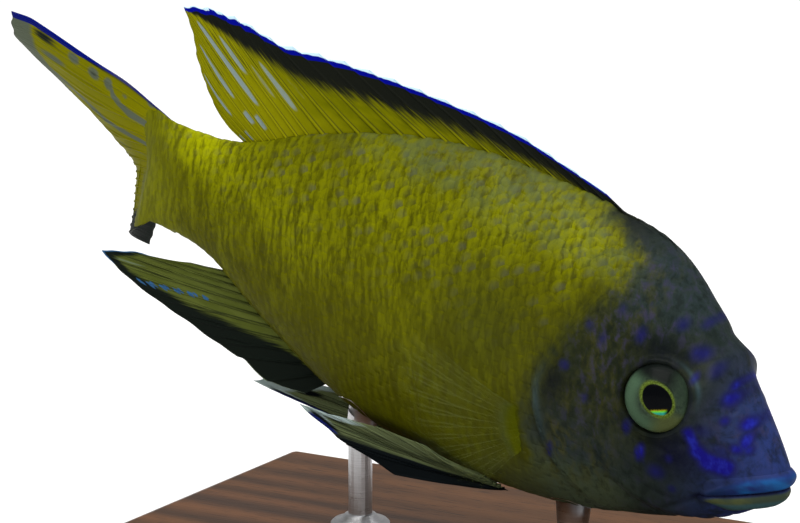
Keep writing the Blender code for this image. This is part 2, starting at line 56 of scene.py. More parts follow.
# Each line's knots: station, value
BACK_LINE = (
    (0.000, 0.004), (0.020, 0.031), (0.080, 0.091), (0.170, 0.173), (0.250, 0.225), (0.330, 0.237),
    (0.450, 0.239), (0.620, 0.214), (0.780, 0.150), (0.880, 0.097), (1.000, 0.073),
)
BELLY_LINE = (
    (0.000, 0.004), (0.020, -0.040), (0.080, -0.088), (0.170, -0.125), (0.250, -0.152), (0.330, -0.170),
    (0.450, -0.182), (0.620, -0.173), (0.780, -0.117), (0.900, -0.072), (1.000, -0.076),
)
WIDEST_HEIGHT = (
    (0.000, 0.004), (0.080, 0.000), (0.200, 0.015), (0.450, 0.010), (0.800, 0.002), (1.000, 0.000),
)
HALF_WIDTH = (
    (0.000, 0.000), (0.020, 0.030), (0.080, 0.055), (0.170, 0.077), (0.250, 0.088), (0.340, 0.090),
    (0.450, 0.088), (0.620, 0.070), (0.780, 0.046), (0.900, 0.028), (1.000, 0.016),
)
BACK_PINCH = (
    (0.000, 0.80), (0.080, 0.78), (0.170, 0.82), (0.250, 0.95), (0.330, 1.12), (0.620, 1.20), (1.000, 1.00),
)
BELLY_PINCH = ((0.000, 0.80), (0.100, 0.85), (0.250, 0.95), (0.620, 1.08), (1.000, 1.00))

EYE_STATION = 0.174
EYE_HEIGHT = 0.057
EYE_SINK = 0.023
EYE_RADIUS = 0.0455
EYE_DEPTH = 0.034
EYE_FORWARD = math.radians(12)
EYE_UP = math.radians(8)
ORBIT_SWELL = 0.014
ORBIT_STATION = 0.140
ORBIT_REACH = 0.060

GILL_EDGE_STATION = 0.335
GILL_EDGE_RISE = (0.090, 0.135)

MOUTH_FRONT_HEIGHT = -0.006
MOUTH_SLOPE = -0.47
MOUTH_CORNER_STATION = 0.088
LIP_WIDTHS = {"upper": 0.026, "lower": 0.027}
LIP_BULGES = {"upper": 0.0054, "lower": 0.0088}

COAT_DEPTH = 0.0034
HEAD_COAT_DEPTH = 0.0012

# Fin rays, as in the solids. Dorsal and anal: root's station, length, lean in degrees
DORSAL_RAYS = (
    (0.326, 0.034, 22.0), (0.400, 0.085, 20.0), (0.500, 0.114, 18.0), (0.600, 0.138, 18.3),
    (0.700, 0.169, 20.0), (0.780, 0.197, 27.0), (0.828, 0.234, 30.0), (0.858, 0.154, 26.0),
    (0.876, 0.070, 21.0),
)
ANAL_RAYS = (
    (0.658, 0.050, 45.0), (0.690, 0.105, 20.0), (0.730, 0.175, 14.0), (0.770, 0.242, 11.0),
    (0.805, 0.275, 10.0), (0.832, 0.180, 10.0), (0.856, 0.060, 14.0),
)
# Tail: place down the fin, length, rise and curl in degrees
TAIL_RAYS = (
    (0.000, 0.350, 3.0, 3.0), (0.120, 0.336, -0.5, 8.0), (0.300, 0.262, -10.0, 36.0),
    (0.500, 0.226, -17.0, 70.0), (0.700, 0.222, -21.0, 75.0), (0.880, 0.214, -25.0, 76.0),
    (1.000, 0.206, -28.0, 75.0),
)
TAIL_CURL_SHAPE = 0.45
TAIL_RISE_SHAPE = 0.8
TAIL_STEPS = 8
# Fins in pairs: places of roots and tips
SIDE_FIN_ROOTS = ((0.340, 0.097, -0.036), (0.338, 0.096, -0.060), (0.328, 0.093, -0.088))
SIDE_FIN_TIPS = (
    (0.470, 0.120, 0.012), (0.520, 0.132, 0.008), (0.505, 0.136, -0.050), (0.470, 0.134, -0.098),
    (0.425, 0.128, -0.132), (0.385, 0.118, -0.148), (0.352, 0.108, -0.146),
)
BELLY_FIN_ROOTS = ((0.352, 0.036, -0.172), (0.368, 0.042, -0.169), (0.384, 0.048, -0.165))
BELLY_FIN_TIPS = {
    "left": (
        (0.520, 0.050, -0.222), (0.650, 0.040, -0.222), (0.785, 0.022, -0.220), (0.730, 0.030, -0.195),
        (0.600, 0.048, -0.170), (0.480, 0.058, -0.152),
    ),
    "right": (
        (0.500, 0.052, -0.212), (0.595, 0.054, -0.201), (0.667, 0.050, -0.184), (0.620, 0.056, -0.176),
        (0.540, 0.060, -0.158), (0.465, 0.062, -0.150),
    ),
}
PAIRED_FIN_BOW = 0.004

SIDES = {"left": 1, "right": -1}


# Curves and hills

def smooth(knots, values, x):
    """A smooth curve through values at knots: cubic pieces that share their slopes."""
    slopes = np.gradient(values, knots)
    i = np.clip(np.searchsorted(knots, x, side="right") - 1, 0, len(knots) - 2)
    step = knots[i + 1] - knots[i]
    t = (x - knots[i]) / step
    start = (2 * t**3 - 3 * t**2 + 1) * values[i] + (t**3 - 2 * t**2 + t) * step * slopes[i]
    end = (3 * t**2 - 2 * t**3) * values[i + 1] + (t**3 - t**2) * step * slopes[i + 1]
    return start + end


def through(points, station):
    """A smooth curve through (station, value) points. It runs in the square root of the station."""
    knots, values = np.array(points).T
    return smooth(np.sqrt(knots), values, np.sqrt(np.clip(station, 0.0, 1.0)))


def ramp(low, high, x):
    """0 below low, 1 above high and a smooth S between; low may be the greater one."""
    t = np.clip((x - low) / (high - low), 0.0, 1.0)
    return t * t * (3 - 2 * t)


def peak(x, middle, reach, power=2):
    """1 at the middle, less to both sides: the exponential of minus a power of the distance in reaches."""
    return np.exp(-(((x - middle) / reach) ** power))


def hill(x, y, middle_x, middle_y, reach_x, reach_y):
    """A round hill of height one: the product of a peak each way."""
    return peak(x, middle_x, reach_x) * peak(y, middle_y, reach_y)


def hills(x, y, rows, joined=np.add):
    """Hills from rows of middles, reaches and a height, summed or with the greatest taken."""
    return joined.reduce([height * hill(x, y, *row) for *row, height in rows])


def running(steps):
    """The running sum of steps along their last axis, from 0."""
    total = np.cumsum(steps, axis=-1)
    return np.concatenate([np.zeros_like(total[..., :1]), total], axis=-1)


def beside_line(x, y, start, end):
    """How far along a line a place lies, how far off it to the side, and the line's length."""
    run_x, run_y = end[0] - start[0], end[1] - start[1]
    length = math.hypot(run_x, run_y)
    along = ((x - start[0]) * run_x + (y - start[1]) * run_y) / length
    return along, ((y - start[1]) * run_x - (x - start[0]) * run_y) / length, length


def read_table(table, row, column):
    """A table read between its cells, at fractional rows and columns."""
    row, column = (np.clip(at, 0.0, size - 1) for at, size in zip((row, column), table.shape))
    r, c = (np.minimum(at.astype(int), size - 2) for at, size in zip((row, column), table.shape))
    more = (...,) + (None,) * (table.ndim - 2)
    fr, fc = (row - r)[more], (column - c)[more]
    near = table[r, c] * (1 - fr) + table[r + 1, c] * fr
    far = table[r, c + 1] * (1 - fr) + table[r + 1, c + 1] * fr
    return near * (1 - fc) + far * fc


def circle(count):
    """Evenly spaced angles once round, without the last."""
    return np.linspace(0.0, 2 * np.pi, count, endpoint=False)


def greatest(*parts):
    """The greatest of several arrays, broadcast to one shape."""
    return np.maximum.reduce(np.broadcast_arrays(*parts))


def stacked(*parts):
    """Arrays broadcast to one shape and laid side by side on a last axis."""
    return np.stack(np.broadcast_arrays(*parts), axis=-1)


def unit(vectors):
    """Vectors brought to length one."""
    return vectors / np.maximum(np.linalg.norm(vectors, axis=-1, keepdims=True), 1e-12)


# The shape of the body

def bent(station, y, z):
    """Places of the straight fish carried onto its bent middle line, still in shares."""
    fine = np.linspace(0.0, 1.6, 801)
    heading = TAIL_TURN * (np.clip(fine - TURN_START, 0.0, None) / (1.0 - TURN_START)) ** 2
    middle = (heading[1:] + heading[:-1]) / 2
    along, aside = running(np.cos(middle) * fine[1]), running(np.sin(middle) * fine[1])
    turn = np.interp(station, fine, heading)
    x = np.maximum(-station, 0.0) - np.interp(station, fine, along) + y * np.sin(turn)
    return stacked(x, np.interp(station, fine, aside) + y * np.cos(turn), z)


def tipped(points):
    """Bent places, in shares, tipped nose down over the stand, in metres."""
    stations = np.linspace(0.0, 1.0, 101)
    belly = bent(stations, 0.0, through(BELLY_LINE, stations)) * STANDARD_LENGTH
    lowest = np.min(belly[:, 2] * math.cos(NOSE_DOWN) - belly[:, 0] * math.sin(NOSE_DOWN))
    x, y, z = np.moveaxis(points * STANDARD_LENGTH, -1, 0)
    ahead = x * math.cos(NOSE_DOWN) + z * math.sin(NOSE_DOWN) + SNOUT_AHEAD
    up = z * math.cos(NOSE_DOWN) - x * math.sin(NOSE_DOWN) + BASE_TOP + BELLY_CLEARANCE - lowest
    return stacked(ahead, y, up)


def section(station, angle):
    """The straight body's y and z at a station and an angle round it, 0 at the back."""
    widest, half = through(WIDEST_HEIGHT, station), through(HALF_WIDTH, station)
    up, side = np.cos(angle), np.sin(angle)
    pinch = np.where(up >= 0, through(BACK_PINCH, station), through(BELLY_PINCH, station))
    above, below = through(BACK_LINE, station) - widest, widest - through(BELLY_LINE, station)
    z = widest + np.where(up >= 0, above, below) * up
    bulge = ORBIT_SWELL * hill(station, z, ORBIT_STATION, EYE_HEIGHT, ORBIT_REACH, ORBIT_REACH)
    return np.sign(side) * (half * np.abs(side) ** pinch + bulge * np.abs(side) ** 0.5), z


def angle_at_height(station, height):
    """The angle round the body at which its left side passes a height."""
    widest = through(WIDEST_HEIGHT, station)
    above, below = through(BACK_LINE, station) - widest, widest - through(BELLY_LINE, station)
    return np.arccos(np.clip((height - widest) / np.where(height >= widest, above, below), -1.0, 1.0))


def from_back(angle):
    """How many degrees round the body from the middle of its back an angle is."""
    return np.degrees(np.arccos(np.cos(angle)))


def from_eye(station, z):
    """The distance to the eye's middle, in its radii."""
    return np.hypot(station - EYE_STATION, z - EYE_HEIGHT) / EYE_RADIUS


def from_mouth(station, z):
    """The height over the mouth line, which slopes down behind the snout."""
    return z - (MOUTH_FRONT_HEIGHT + MOUTH_SLOPE * station)


def from_cheek(station, z):
    """The distance to the cheek's middle and the direction from it in degrees."""
    station, z = station - CHEEK_MIDDLE[0], z - CHEEK_MIDDLE[1]
    return np.hypot(station, z), np.degrees(np.arctan2(z, station))


def gill_edge(angle):
    """The station of the gill covers' rear edge at an angle round the body."""
    up = np.cos(angle)
    return GILL_EDGE_STATION - np.where(up >= 0, *GILL_EDGE_RISE) * np.abs(up) ** 1.6


def gill_slit(angle):
    """1 where the gill cover's rear edge is free, 0 over the nape and under the throat."""
    return ramp(44, 58, from_back(angle)) * ramp(172, 155, from_back(angle))


CHEEK_MIDDLE = (0.130, 0.015)
CHEEK_BONE_REACH = 0.110
CHEEK_LINE_REACH = 0.083
PORE_REACH = 0.0042
NOSTRIL = (0.083, 0.073)
JAW_FOLD = ((0.090, -0.052), (0.136, -0.092))
EYE_SOCKET_DEPTH = 0.030
# Cheek, gill cover, the hollow before the eye, the brow over the eye and the dip above it
FACE_RELIEF = (
    (0.190, -0.035, 0.034, 0.034, 0.0030), (0.285, -0.010, 0.036, 0.075, 0.0022),
    (0.105, 0.020, 0.018, 0.030, -0.0016), (0.122, 0.093, 0.014, 0.030, 0.0135),
    (0.141, 0.132, 0.008, 0.018, -0.0022),
)


def face_pores():
    """The wide sense pores of the head as (station, height): under the eye, down the cheek bone and
    along the lower jaw."""
    under_eye, cheek = np.radians(np.linspace(195, 345, 7)), np.radians(np.linspace(-84, 18, 7))
    jaw = np.linspace(0.028, 0.118, 5)
    stations = [EYE_STATION - 0.066 * np.cos(under_eye), CHEEK_MIDDLE[0] + 0.119 * np.cos(cheek), jaw]
    heights = [
        EYE_HEIGHT + 0.066 * np.sin(under_eye), CHEEK_MIDDLE[1] + 0.119 * np.sin(cheek), -0.047 - 0.50 * jaw,
    ]
    return zip(np.concatenate(stations), np.concatenate(heights))


def relief(station, angle):
    """How far the skin stands off the body's line, in shares: sunk by the scales' depth, with the
    gill cover's free edge, the cheek bone's step, the eye socket and the swelling before it, nostrils,
    pores, jaw fold, mouth groove and the swellings along the fins' roots."""
    z = section(station, angle)[1]
    turn = from_back(angle)
    behind = station - gill_edge(angle)
    out = -HEAD_COAT_DEPTH - (COAT_DEPTH - HEAD_COAT_DEPTH) * ramp(-0.05, 0.03, behind)
    out = out * (1.0 - 0.90 * ramp(0.93, 1.05, station))

    cover = np.exp(np.minimum(behind, 0.0) / 0.018) * 0.0040
    hollow = -np.exp(-np.maximum(behind, 0.0) / 0.014) * 0.0046
    out = out + gill_slit(angle) * (cover + (hollow - cover) * ramp(-0.0016, 0.0016, behind))

    reach, bearing = from_cheek(station, z)
    past = reach - CHEEK_BONE_REACH
    step = -0.0030 * ramp(-0.004, 0.005, past) * np.exp(-np.maximum(past, 0.0) / 0.034)
    out = out + ramp(-118, -98, bearing) * ramp(52, 30, bearing) * (step + 0.0012 * peak(past, -0.008, 0.007))
    in_line = ramp(-110, -85, bearing) * ramp(10, -15, bearing)
    out = out - 0.0010 * in_line * peak(reach, CHEEK_LINE_REACH, 0.004)

    out = out + hills(station, z, FACE_RELIEF)
    for pore in face_pores():
        out = out - 0.0026 * hill(station, z, *pore, PORE_REACH, PORE_REACH)
    nostril = np.hypot(station - NOSTRIL[0], z - NOSTRIL[1])
    out = out + 0.0006 * peak(nostril, 0.0070, 0.0030) - 0.0034 * peak(nostril, 0.0, 0.0034, 4)

    along, off, length = beside_line(station, z, *JAW_FOLD)
    in_fold = ramp(-0.008, 0.004, along) * ramp(length + 0.010, length - 0.010, along)
    out = out - 0.0026 * in_fold * peak(off, 0.0, 0.0035)
    throat = ramp(0.13, 0.17, station) * ramp(0.30, 0.25, station) * ramp(146, 156, turn)
    out = out + 0.0005 * throat * np.cos(np.radians(turn) * 40)
    lips = (
        ramp(0.024, 0.013, np.abs(from_mouth(station, z)))
        * ramp(MOUTH_CORNER_STATION + 0.010, 0.075, station)
    )
    out = out - 0.0055 * lips - EYE_SOCKET_DEPTH * ramp(1.12, 0.92, from_eye(station, z))

    back_root = ramp(0.325, 0.345, station) * ramp(0.890, 0.870, station) * peak(turn, 0, 10)
    belly_root = ramp(0.650, 0.665, station) * ramp(0.870, 0.850, station) * peak(turn, 180, 10)
    return out + 0.0022 * (back_root + belly_root)


def make_tail_course():
    """The tail fin's rays as a table: down the fin, along the ray, and for each how far back, aside
    and up it has come and its heading. Each ray is the solids' run of eight steps, smoothed."""
    place, lengths, rises, curls = np.array(TAIL_RAYS).T
    across = np.linspace(0.0, 1.0, 121)
    length = np.interp(across, place, lengths)[:, None]
    rise, curl = (np.radians(smooth(place, turns, across))[:, None] for turns in (rises, curls))
    coarse = np.linspace(0.0, 1.0, TAIL_STEPS + 1)
    heading = TAIL_TURN + curl * coarse**TAIL_CURL_SHAPE
    middle = (heading[:, 1:] + heading[:, :-1]) / 2
    climb = length * np.tan(rise) * coarse**TAIL_RISE_SHAPE
    runs = [running(part(middle) * length / TAIL_STEPS) for part in (np.cos, np.sin)] + [climb]
    fine = np.linspace(0.0, 1.0, 161)
    weights = np.stack([smooth(coarse, one, fine) for one in np.eye(TAIL_STEPS + 1)])
    back, aside, up = (run @ weights for run in runs)
    turn = np.arctan2(np.gradient(aside, axis=1), np.gradient(back, axis=1))
    return np.stack([back, aside, up, turn], axis=-1), length[:, 0]


TAIL_COURSE, TAIL_LENGTHS = make_tail_course()
STALK_TOP = float(through(BACK_LINE, 1.0))
STALK_BOTTOM = float(through(BELLY_LINE, 1.0))
SKIN_END = 1.062


def on_tail(across, share, left=0.0):
    """Places on the tail fin's middle surface, down it and along its rays, moved to the left of it.
    Shares below 0 run on into the stalk."""
    across, share, left = np.broadcast_arrays(across, share, left)
    rows, columns = TAIL_COURSE.shape[0] - 1, TAIL_COURSE.shape[1] - 1
    run = read_table(TAIL_COURSE, across * rows, share * columns)
    before = np.minimum(share, 0.0) * 0.30
    root = bent(1.0 + before, 0.0, STALK_TOP + (STALK_BOTTOM - STALK_TOP) * across)
    turn = np.where(share <= 0.0, TAIL_TURN, run[..., 3])
    return root + stacked(left * np.sin(turn) - run[..., 0], left * np.cos(turn) + run[..., 1], run[..., 2])


def body(station, angle):
    """The plain bent body. Past the stalk it follows the tail fin's root, and is drawn out thin."""
    y, z = section(station, angle)
    y = y * (1.0 - 0.93 * ramp(0.945, SKIN_END, station))
    across = (STALK_TOP - z) / (STALK_TOP - STALK_BOTTOM)
    length = np.interp(across, np.linspace(0.0, 1.0, TAIL_LENGTHS.size), TAIL_LENGTHS)
    beyond = on_tail(across, np.maximum(station - 1.0, 0.0) / length, y)
    return np.where(station[..., None] > 1.0, beyond, bent(np.minimum(station, 1.0), y, z))


def on_skin(station, angle, lift=0.0):
    """World points over the body: its place, moved out by the relief and a lift along its normal,
    which is the cross product of two short steps round and along it."""
    small = 2e-4
    station, angle, lift = np.broadcast_arrays(np.asarray(station, float), angle, lift)
    here = body(station, angle)
    normal = unit(np.cross(body(station, angle + small) - here, body(station + small, angle) - here))
    return tipped(here + normal * (lift + relief(station, angle))[..., None])


# Making pieces

def grid_quads(rows, columns, first=0, closed=False):
    """Quads over a grid of points; a closed grid joins its last column to its first."""
    index = first + np.arange(rows * columns).reshape(rows, columns)
    after = np.roll(index, -1, axis=1)
    if not closed:
        index, after = index[:, :-1], after[:, :-1]
    return np.stack([index[:-1], after[:-1], after[1:], index[1:]], axis=-1).reshape(-1, 4)


def grid_rim(index):
    """The point numbers once round a grid's border."""
    return np.concatenate([index[0], index[1:, -1], index[-1, -2::-1], index[-2:0:-1, 0]])


def fan(ring, middle, flip=False):
    """Triangles from a closed ring of point numbers to one middle point."""
    after = np.roll(ring, -1)
    pair = (after, ring) if flip else (ring, after)
    return np.stack([*pair, np.full(len(ring), middle)], axis=-1)


def end_fans(rows, columns):
    """Fans that close the two ends of a closed grid, to two more points after it."""
    total = rows * columns
    return np.concatenate([
        fan(np.arange(columns), total, flip=True), fan(np.arange(total - columns, total), total + 1)
    ])


def volume(points, quads, triangles):
    """The signed volume inside closed faces, from the sum of tetrahedra to the origin."""
    corners = np.concatenate([triangles, quads[:, :3], quads[:, [0, 2, 3]]])
    a, b, c = (points[corners[:, i]] for i in range(3))
    return float(np.sum(np.cross(a, b) * c))


def new_piece(name, points, quads, triangles, material, nodes=(), fields=None, patch=None):
    """A smooth mesh object from arrays, facing outwards, riding on the root. Fields are vertex
    attributes; patch is a UV point for each vertex, kept as OFBake."""
    points = points.reshape(-1, 3)
    quads, triangles = quads.reshape(-1, 4), np.asarray(triangles, dtype=int).reshape(-1, 3)
    if volume(points - points.mean(axis=0), quads, triangles) < 0:
        quads, triangles = quads[:, ::-1], triangles[:, ::-1]
    corners = np.concatenate([quads.ravel(), triangles.ravel()])
    starts = np.concatenate([4 * np.arange(len(quads)), 4 * len(quads) + 3 * np.arange(len(triangles))])
    mesh = bpy.data.meshes.new(name)
    mesh.vertices.add(len(points))
    mesh.vertices.foreach_set("co", points.astype(np.float32).ravel())
    mesh.loops.add(len(corners))
    mesh.loops.foreach_set("vertex_index", corners.astype(np.int32))
    mesh.polygons.add(len(starts))
    mesh.polygons.foreach_set("loop_start", starts.astype(np.int32))
    mesh.update(calc_edges=True)
    mesh.validate()
    mesh.shade_smooth()
    for field, values in (fields or {}).items():
        kind, key = ("FLOAT_VECTOR", "vector") if values.shape[-1] == 3 else ("FLOAT", "value")
        mesh.attributes.new(field, kind, "POINT").data.foreach_set(key, values.astype(np.float32).ravel())
    if patch is not None:
        layer = mesh.uv_layers.new(name="OFBake")
        loop_points = np.zeros(len(mesh.loops), dtype=np.int32)
        mesh.loops.foreach_get("vertex_index", loop_points)
        layer.data.foreach_set("uv", patch.reshape(-1, 2)[loop_points].astype(np.float32).ravel())
    mesh.materials.append(material)
    piece = bpy.data.objects.new(name, mesh)
    bpy.context.scene.collection.objects.link(piece)
    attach(piece, "root")
    if nodes:
        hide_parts(*nodes)
    return piece


def turned(name, rings, material, nodes=(), fields=None):
    """A turned part: closed rings of points joined in turn, with a fan at each end to its middle."""
    rings = np.asarray(rings)
    rows, columns = rings.shape[:2]
    points = np.concatenate([rings.reshape(-1, 3), rings[[0, -1]].mean(axis=1)])
    quads = grid_quads(rows, columns, closed=True)
    return new_piece(name, points, quads, end_fans(rows, columns), material, nodes, fields)


# The fish's markings, worked out once for the skin and the scales. Hills are rows of station, height,
# reach along, reach up and strength

# Where head and flank meet: height, station
HEAD_BORDER = (
    (-0.20, 0.270), (-0.10, 0.305), (-0.06, 0.330), (0.03, 0.330), (0.075, 0.316), (0.131, 0.285),
    (0.172, 0.262), (0.204, 0.262), (0.236, 0.330),
)
BLUE_STREAK = ((0.120, 0.034), (0.104, 0.012), (0.088, 0.003), (0.068, 0.003))
STREAK_STRENGTHS = (0.80, 1.00, 1.15)
BLUE_SPOTS = (
    (0.056, 0.042, 0.0080, 0.0150, 0.80), (0.050, 0.034, 0.0080, 0.0090, 0.60),
    (0.063, 0.062, 0.0095, 0.0100, 0.85), (0.092, 0.086, 0.0105, 0.0110, 0.72),
    (0.096, 0.100, 0.0060, 0.0090, 0.62), (0.087, 0.060, 0.0065, 0.0070, 0.62),
    (0.145, 0.127, 0.0130, 0.0110, 0.50), (0.122, 0.112, 0.0100, 0.0140, 0.36),
    (0.138, 0.099, 0.0050, 0.0090, 0.55), (0.062, 0.030, 0.0100, 0.0075, 0.74),
    (0.172, -0.017, 0.0060, 0.0120, 0.90), (0.135, -0.011, 0.0055, 0.0070, 0.44),
    (0.197, 0.009, 0.0075, 0.0120, 0.48), (0.148, -0.036, 0.0140, 0.0120, 0.44),
    (0.124, -0.052, 0.0070, 0.0070, 0.38), (0.290, -0.069, 0.0045, 0.0170, 0.50),
    (0.300, 0.050, 0.0080, 0.0080, 0.46), (0.157, 0.159, 0.0080, 0.0090, 0.36),
    (0.180, 0.152, 0.0100, 0.0110, 0.38), (0.220, 0.124, 0.0080, 0.0130, 0.44),
    (0.265, 0.100, 0.0065, 0.0120, 0.38), (0.287, 0.110, 0.0080, 0.0090, 0.36),
    (0.255, 0.145, 0.0080, 0.0090, 0.30), (0.262, 0.020, 0.0060, 0.0100, 0.34),
    (0.106, 0.040, 0.0150, 0.0110, 0.30), (0.078, 0.020, 0.0160, 0.0120, 0.34),
)
VIOLET_AREAS = (
    (0.255, 0.115, 0.060, 0.060, 1.0), (0.180, 0.150, 0.070, 0.040, 0.7), (0.060, 0.050, 0.050, 0.045, 0.8),
    (0.240, 0.190, 0.045, 0.030, 1.0), (0.250, 0.000, 0.050, 0.070, 0.6), (0.150, -0.080, 0.070, 0.040, 0.5),
)
GOLD_AREAS = (
    (0.262, 0.095, 0.030, 0.050, 0.9), (0.285, -0.030, 0.026, 0.050, 1.0), (0.270, -0.090, 0.032, 0.036, 1.0),
    (0.222, -0.050, 0.022, 0.050, 0.8), (0.225, 0.146, 0.014, 0.022, 0.9), (0.230, 0.040, 0.030, 0.030, 0.6),
    (0.238, 0.188, 0.030, 0.026, 0.8),
)
SHADE_AREAS = (
    (0.132, -0.002, 0.052, 0.034, 0.95), (0.186, 0.112, 0.036, 0.024, 0.95),
    (0.309, 0.022, 0.016, 0.026, 0.80), (0.300, 0.236, 0.050, 0.016, 0.70),
    (0.110, -0.055, 0.050, 0.034, 0.22),
)
# Sun: where the flank is brighter yellow, partly painted sheen from above along the shoulder, the back and
# the stalk's top, and partly the skin's own brighter yellow
SHEEN_AND_YELLOW_AREAS = (
    (0.345, 0.200, 0.050, 0.032, 0.32), (0.430, 0.180, 0.110, 0.050, 0.28),
    (0.640, 0.130, 0.120, 0.060, 0.24), (0.940, 0.070, 0.075, 0.038, 1.00),
    (0.760, 0.040, 0.120, 0.060, 0.30), (0.960, -0.040, 0.060, 0.050, 0.30),
)


def markings(station, angle, lip=0.0):
    """The fields at places on the body. Place holds the straight fish's own coordinates. The others
    hold colours from 0 to 1: head, violet and blue; gold, shade and lip (below 0 on the lower lip);
    sun, chest and turquoise. Sun is partly painted sheen from above and partly brighter yellow; chest
    is painted shade on the lower front and the belly, and a darkening by the gill cover and the head's
    border."""
    y, z = section(station, angle)
    behind = station - gill_edge(angle)
    past_border = station - np.interp(z, *np.array(HEAD_BORDER).T)
    violet = hills(station, z, VIOLET_AREAS)
    blue = hills(station, z, BLUE_SPOTS, np.maximum)
    for number, strength in enumerate(STREAK_STRENGTHS):
        along, off, length = beside_line(station, z, *BLUE_STREAK[number:number + 2])
        away = np.hypot(off, along - np.clip(along, 0.0, length))
        blue = np.maximum(blue, strength * peak(away, 0.0, 0.0078 + 0.0022 * number))

    slit = gill_slit(angle)
    eye = from_eye(station, z)
    bearing = np.degrees(np.arctan2(z - EYE_HEIGHT, EYE_STATION - station))
    in_mouth = peak(from_mouth(station, z), 0.0, 0.006) * ramp(0.110, 0.090, station)
    shade = greatest(
        hills(station, z, SHADE_AREAS, np.maximum),
        0.70 * slit * (0.35 + 0.65 * ramp(0.10, 0.02, z)) * peak(behind, 0.0022, 0.0026),
        in_mouth * (1.0 - np.abs(lip)),
        0.42 * peak(eye, 1.02, 0.060),
        0.95 * hill(eye, bearing, 1.06, 112.0, 0.130, 42.0),
    )
    sun = hills(station, z, SHEEN_AND_YELLOW_AREAS) + 0.16 * ramp(0.975, 1.020, station)
    # Chest: painted shade that darkens the lower front of the flank and the belly, and a darkening behind the
    # gill cover and along the head's border
    chest = greatest(
        0.9 * ramp(0.42, 0.26, station) * ramp(-0.05, -0.14, z),
        0.34 * ramp(-0.11, -0.17, z),
        0.80 * hill(station, z, 0.420, 0.045, 0.085, 0.085),
        0.66 * ramp(0.085, 0.000, past_border) * ramp(0.200, 0.130, z),
    )
    arc = hill(eye, bearing, 1.19, 44.0, 0.055, 26.0)
    turquoise = np.maximum(0.8 * slit * hill(behind, z, -0.005, -0.012, 0.005, 0.040), arc)
    return {
        "place": stacked(station, y, z),
        "face": stacked(ramp(0.056, -0.050, past_border), np.clip(violet, 0.0, 1.0), blue),
        "glints": stacked(np.clip(hills(station, z, GOLD_AREAS), 0.0, 1.0), shade, lip),
        "flank": stacked(np.clip(sun, 0.0, 1.0), chest, turquoise),
    }


# Materials

def linear(red, green, blue):
    """A screen colour from 0 to 255 as a linear colour."""
    shares = (c / 255 for c in (red, green, blue))
    return (*(c / 12.92 if c <= 0.04045 else ((c + 0.055) / 1.055) ** 2.4 for c in shares), 1.0)


class Wiring:
    """A short way to add nodes to a material's or a group's tree. Colours are given as on screen."""

    def __init__(self, tree):
        """Takes the tree that the nodes go into."""
        self.tree = tree

    def put(self, socket, value):
        """Links an output to a socket, or sets a plain value on it."""
        if isinstance(value, bpy.types.NodeSocket):
            self.tree.links.new(value, socket)
        else:
            socket.default_value = linear(*value) if socket.type == "RGBA" else value

    def node(self, kind, given=(), **settings):
        """Adds one node with its settings, and puts values on its inputs, in order or by name."""
        made = self.tree.nodes.new(kind)
        for key, value in settings.items():
            setattr(made, key, value)
        for key, value in given.items() if isinstance(given, dict) else enumerate(given):
            self.put(made.inputs[key], value)
        return made

    def math(self, operation, *values):
        """One math node."""
        return self.node("ShaderNodeMath", values, operation=operation).outputs[0]

    def times(self, first, *others):
        """The product of two or more values."""
        for other in others:
            first = self.math("MULTIPLY", first, other)
        return first

    def plus(self, a, b):
        """The sum of two values."""
        return self.math("ADD", a, b)

    def scaled(self, value, factor, start):
        """A value times a factor, added to a start."""
        return self.math("MULTIPLY_ADD", value, factor, start)

    def span(self, *values):
        """A smooth step of a value from low to high, which goes from 0 to 1 or from start to end."""
        return self.node("ShaderNodeMapRange", values, interpolation_type="SMOOTHSTEP").outputs[0]

    def mix(self, share, a, b):
        """One colour mixed into another by a share."""
        return self.node("ShaderNodeMix", {0: share, 6: a, 7: b}, data_type="RGBA").outputs[2]

    def layers(self, colour, *steps):
        """A colour with others mixed over it in turn, each by its share."""
        for share, over in steps:
            colour = self.mix(share, colour, over)
        return colour

    def noise(self, vector, scale, detail=2.0, roughness=0.5, distortion=0.0):
        """The value of a noise texture. Three scales draw it out along the axes."""
        if isinstance(scale, tuple):
            vector, scale = self.stretched(vector, scale), 1.0
        given = {
            "Vector": vector, "Scale": scale, "Detail": detail, "Roughness": roughness,
            "Distortion": distortion,
        }
        return self.node("ShaderNodeTexNoise", given).outputs["Fac"]

    def stretched(self, vector, scale):
        """A vector scaled, for patterns drawn out one way."""
        return self.node("ShaderNodeMapping", {"Vector": vector, "Scale": scale}).outputs[0]

    def parts(self, vector):
        """The three parts of a vector."""
        return self.node("ShaderNodeSeparateXYZ", (vector,)).outputs

    def attribute(self, name, kind="Vector"):
        """A vertex attribute of the piece."""
        return self.node("ShaderNodeAttribute", attribute_name=name).outputs[kind]


def new_group(name, inputs, outputs):
    """An empty shader node group with named sockets, its wiring and its two ends."""
    group = bpy.data.node_groups.new(name, "ShaderNodeTree")
    for way, sockets in (("INPUT", inputs), ("OUTPUT", outputs)):
        for label, kind in sockets.items():
            group.interface.new_socket(label, in_out=way, socket_type="NodeSocket" + kind)
    w = Wiring(group)
    return group, w, w.node("NodeGroupInput").outputs, w.node("NodeGroupOutput").inputs


def new_material(name, values):
    """A material with its wiring and its shader, with plain values on the shader's sockets."""
    material = bpy.data.materials.new(name)
    material.use_nodes = True
    shader = material.node_tree.nodes["Principled BSDF"]
    for socket, value in {"Roughness": 0.4, "Coat Roughness": 0.1, **values}.items():
        shader.inputs[socket].default_value = value
    return material, Wiring(material.node_tree), shader


def paint(w, shader, colour, height, distance, strength=1.0, roughness=None):
    """Feeds the shader its colour, its normal from a height through a Bump node, and its roughness."""
    w.put(shader.inputs["Base Color"], colour)
    bump = w.node("ShaderNodeBump", {"Height": height, "Distance": distance, "Strength": strength})
    w.put(shader.inputs["Normal"], bump.outputs[0])
    if roughness is not None:
        w.put(shader.inputs["Roughness"], roughness)


MARKING_FIELDS = ("Place", "Face", "Glints", "Flank", "Tile")


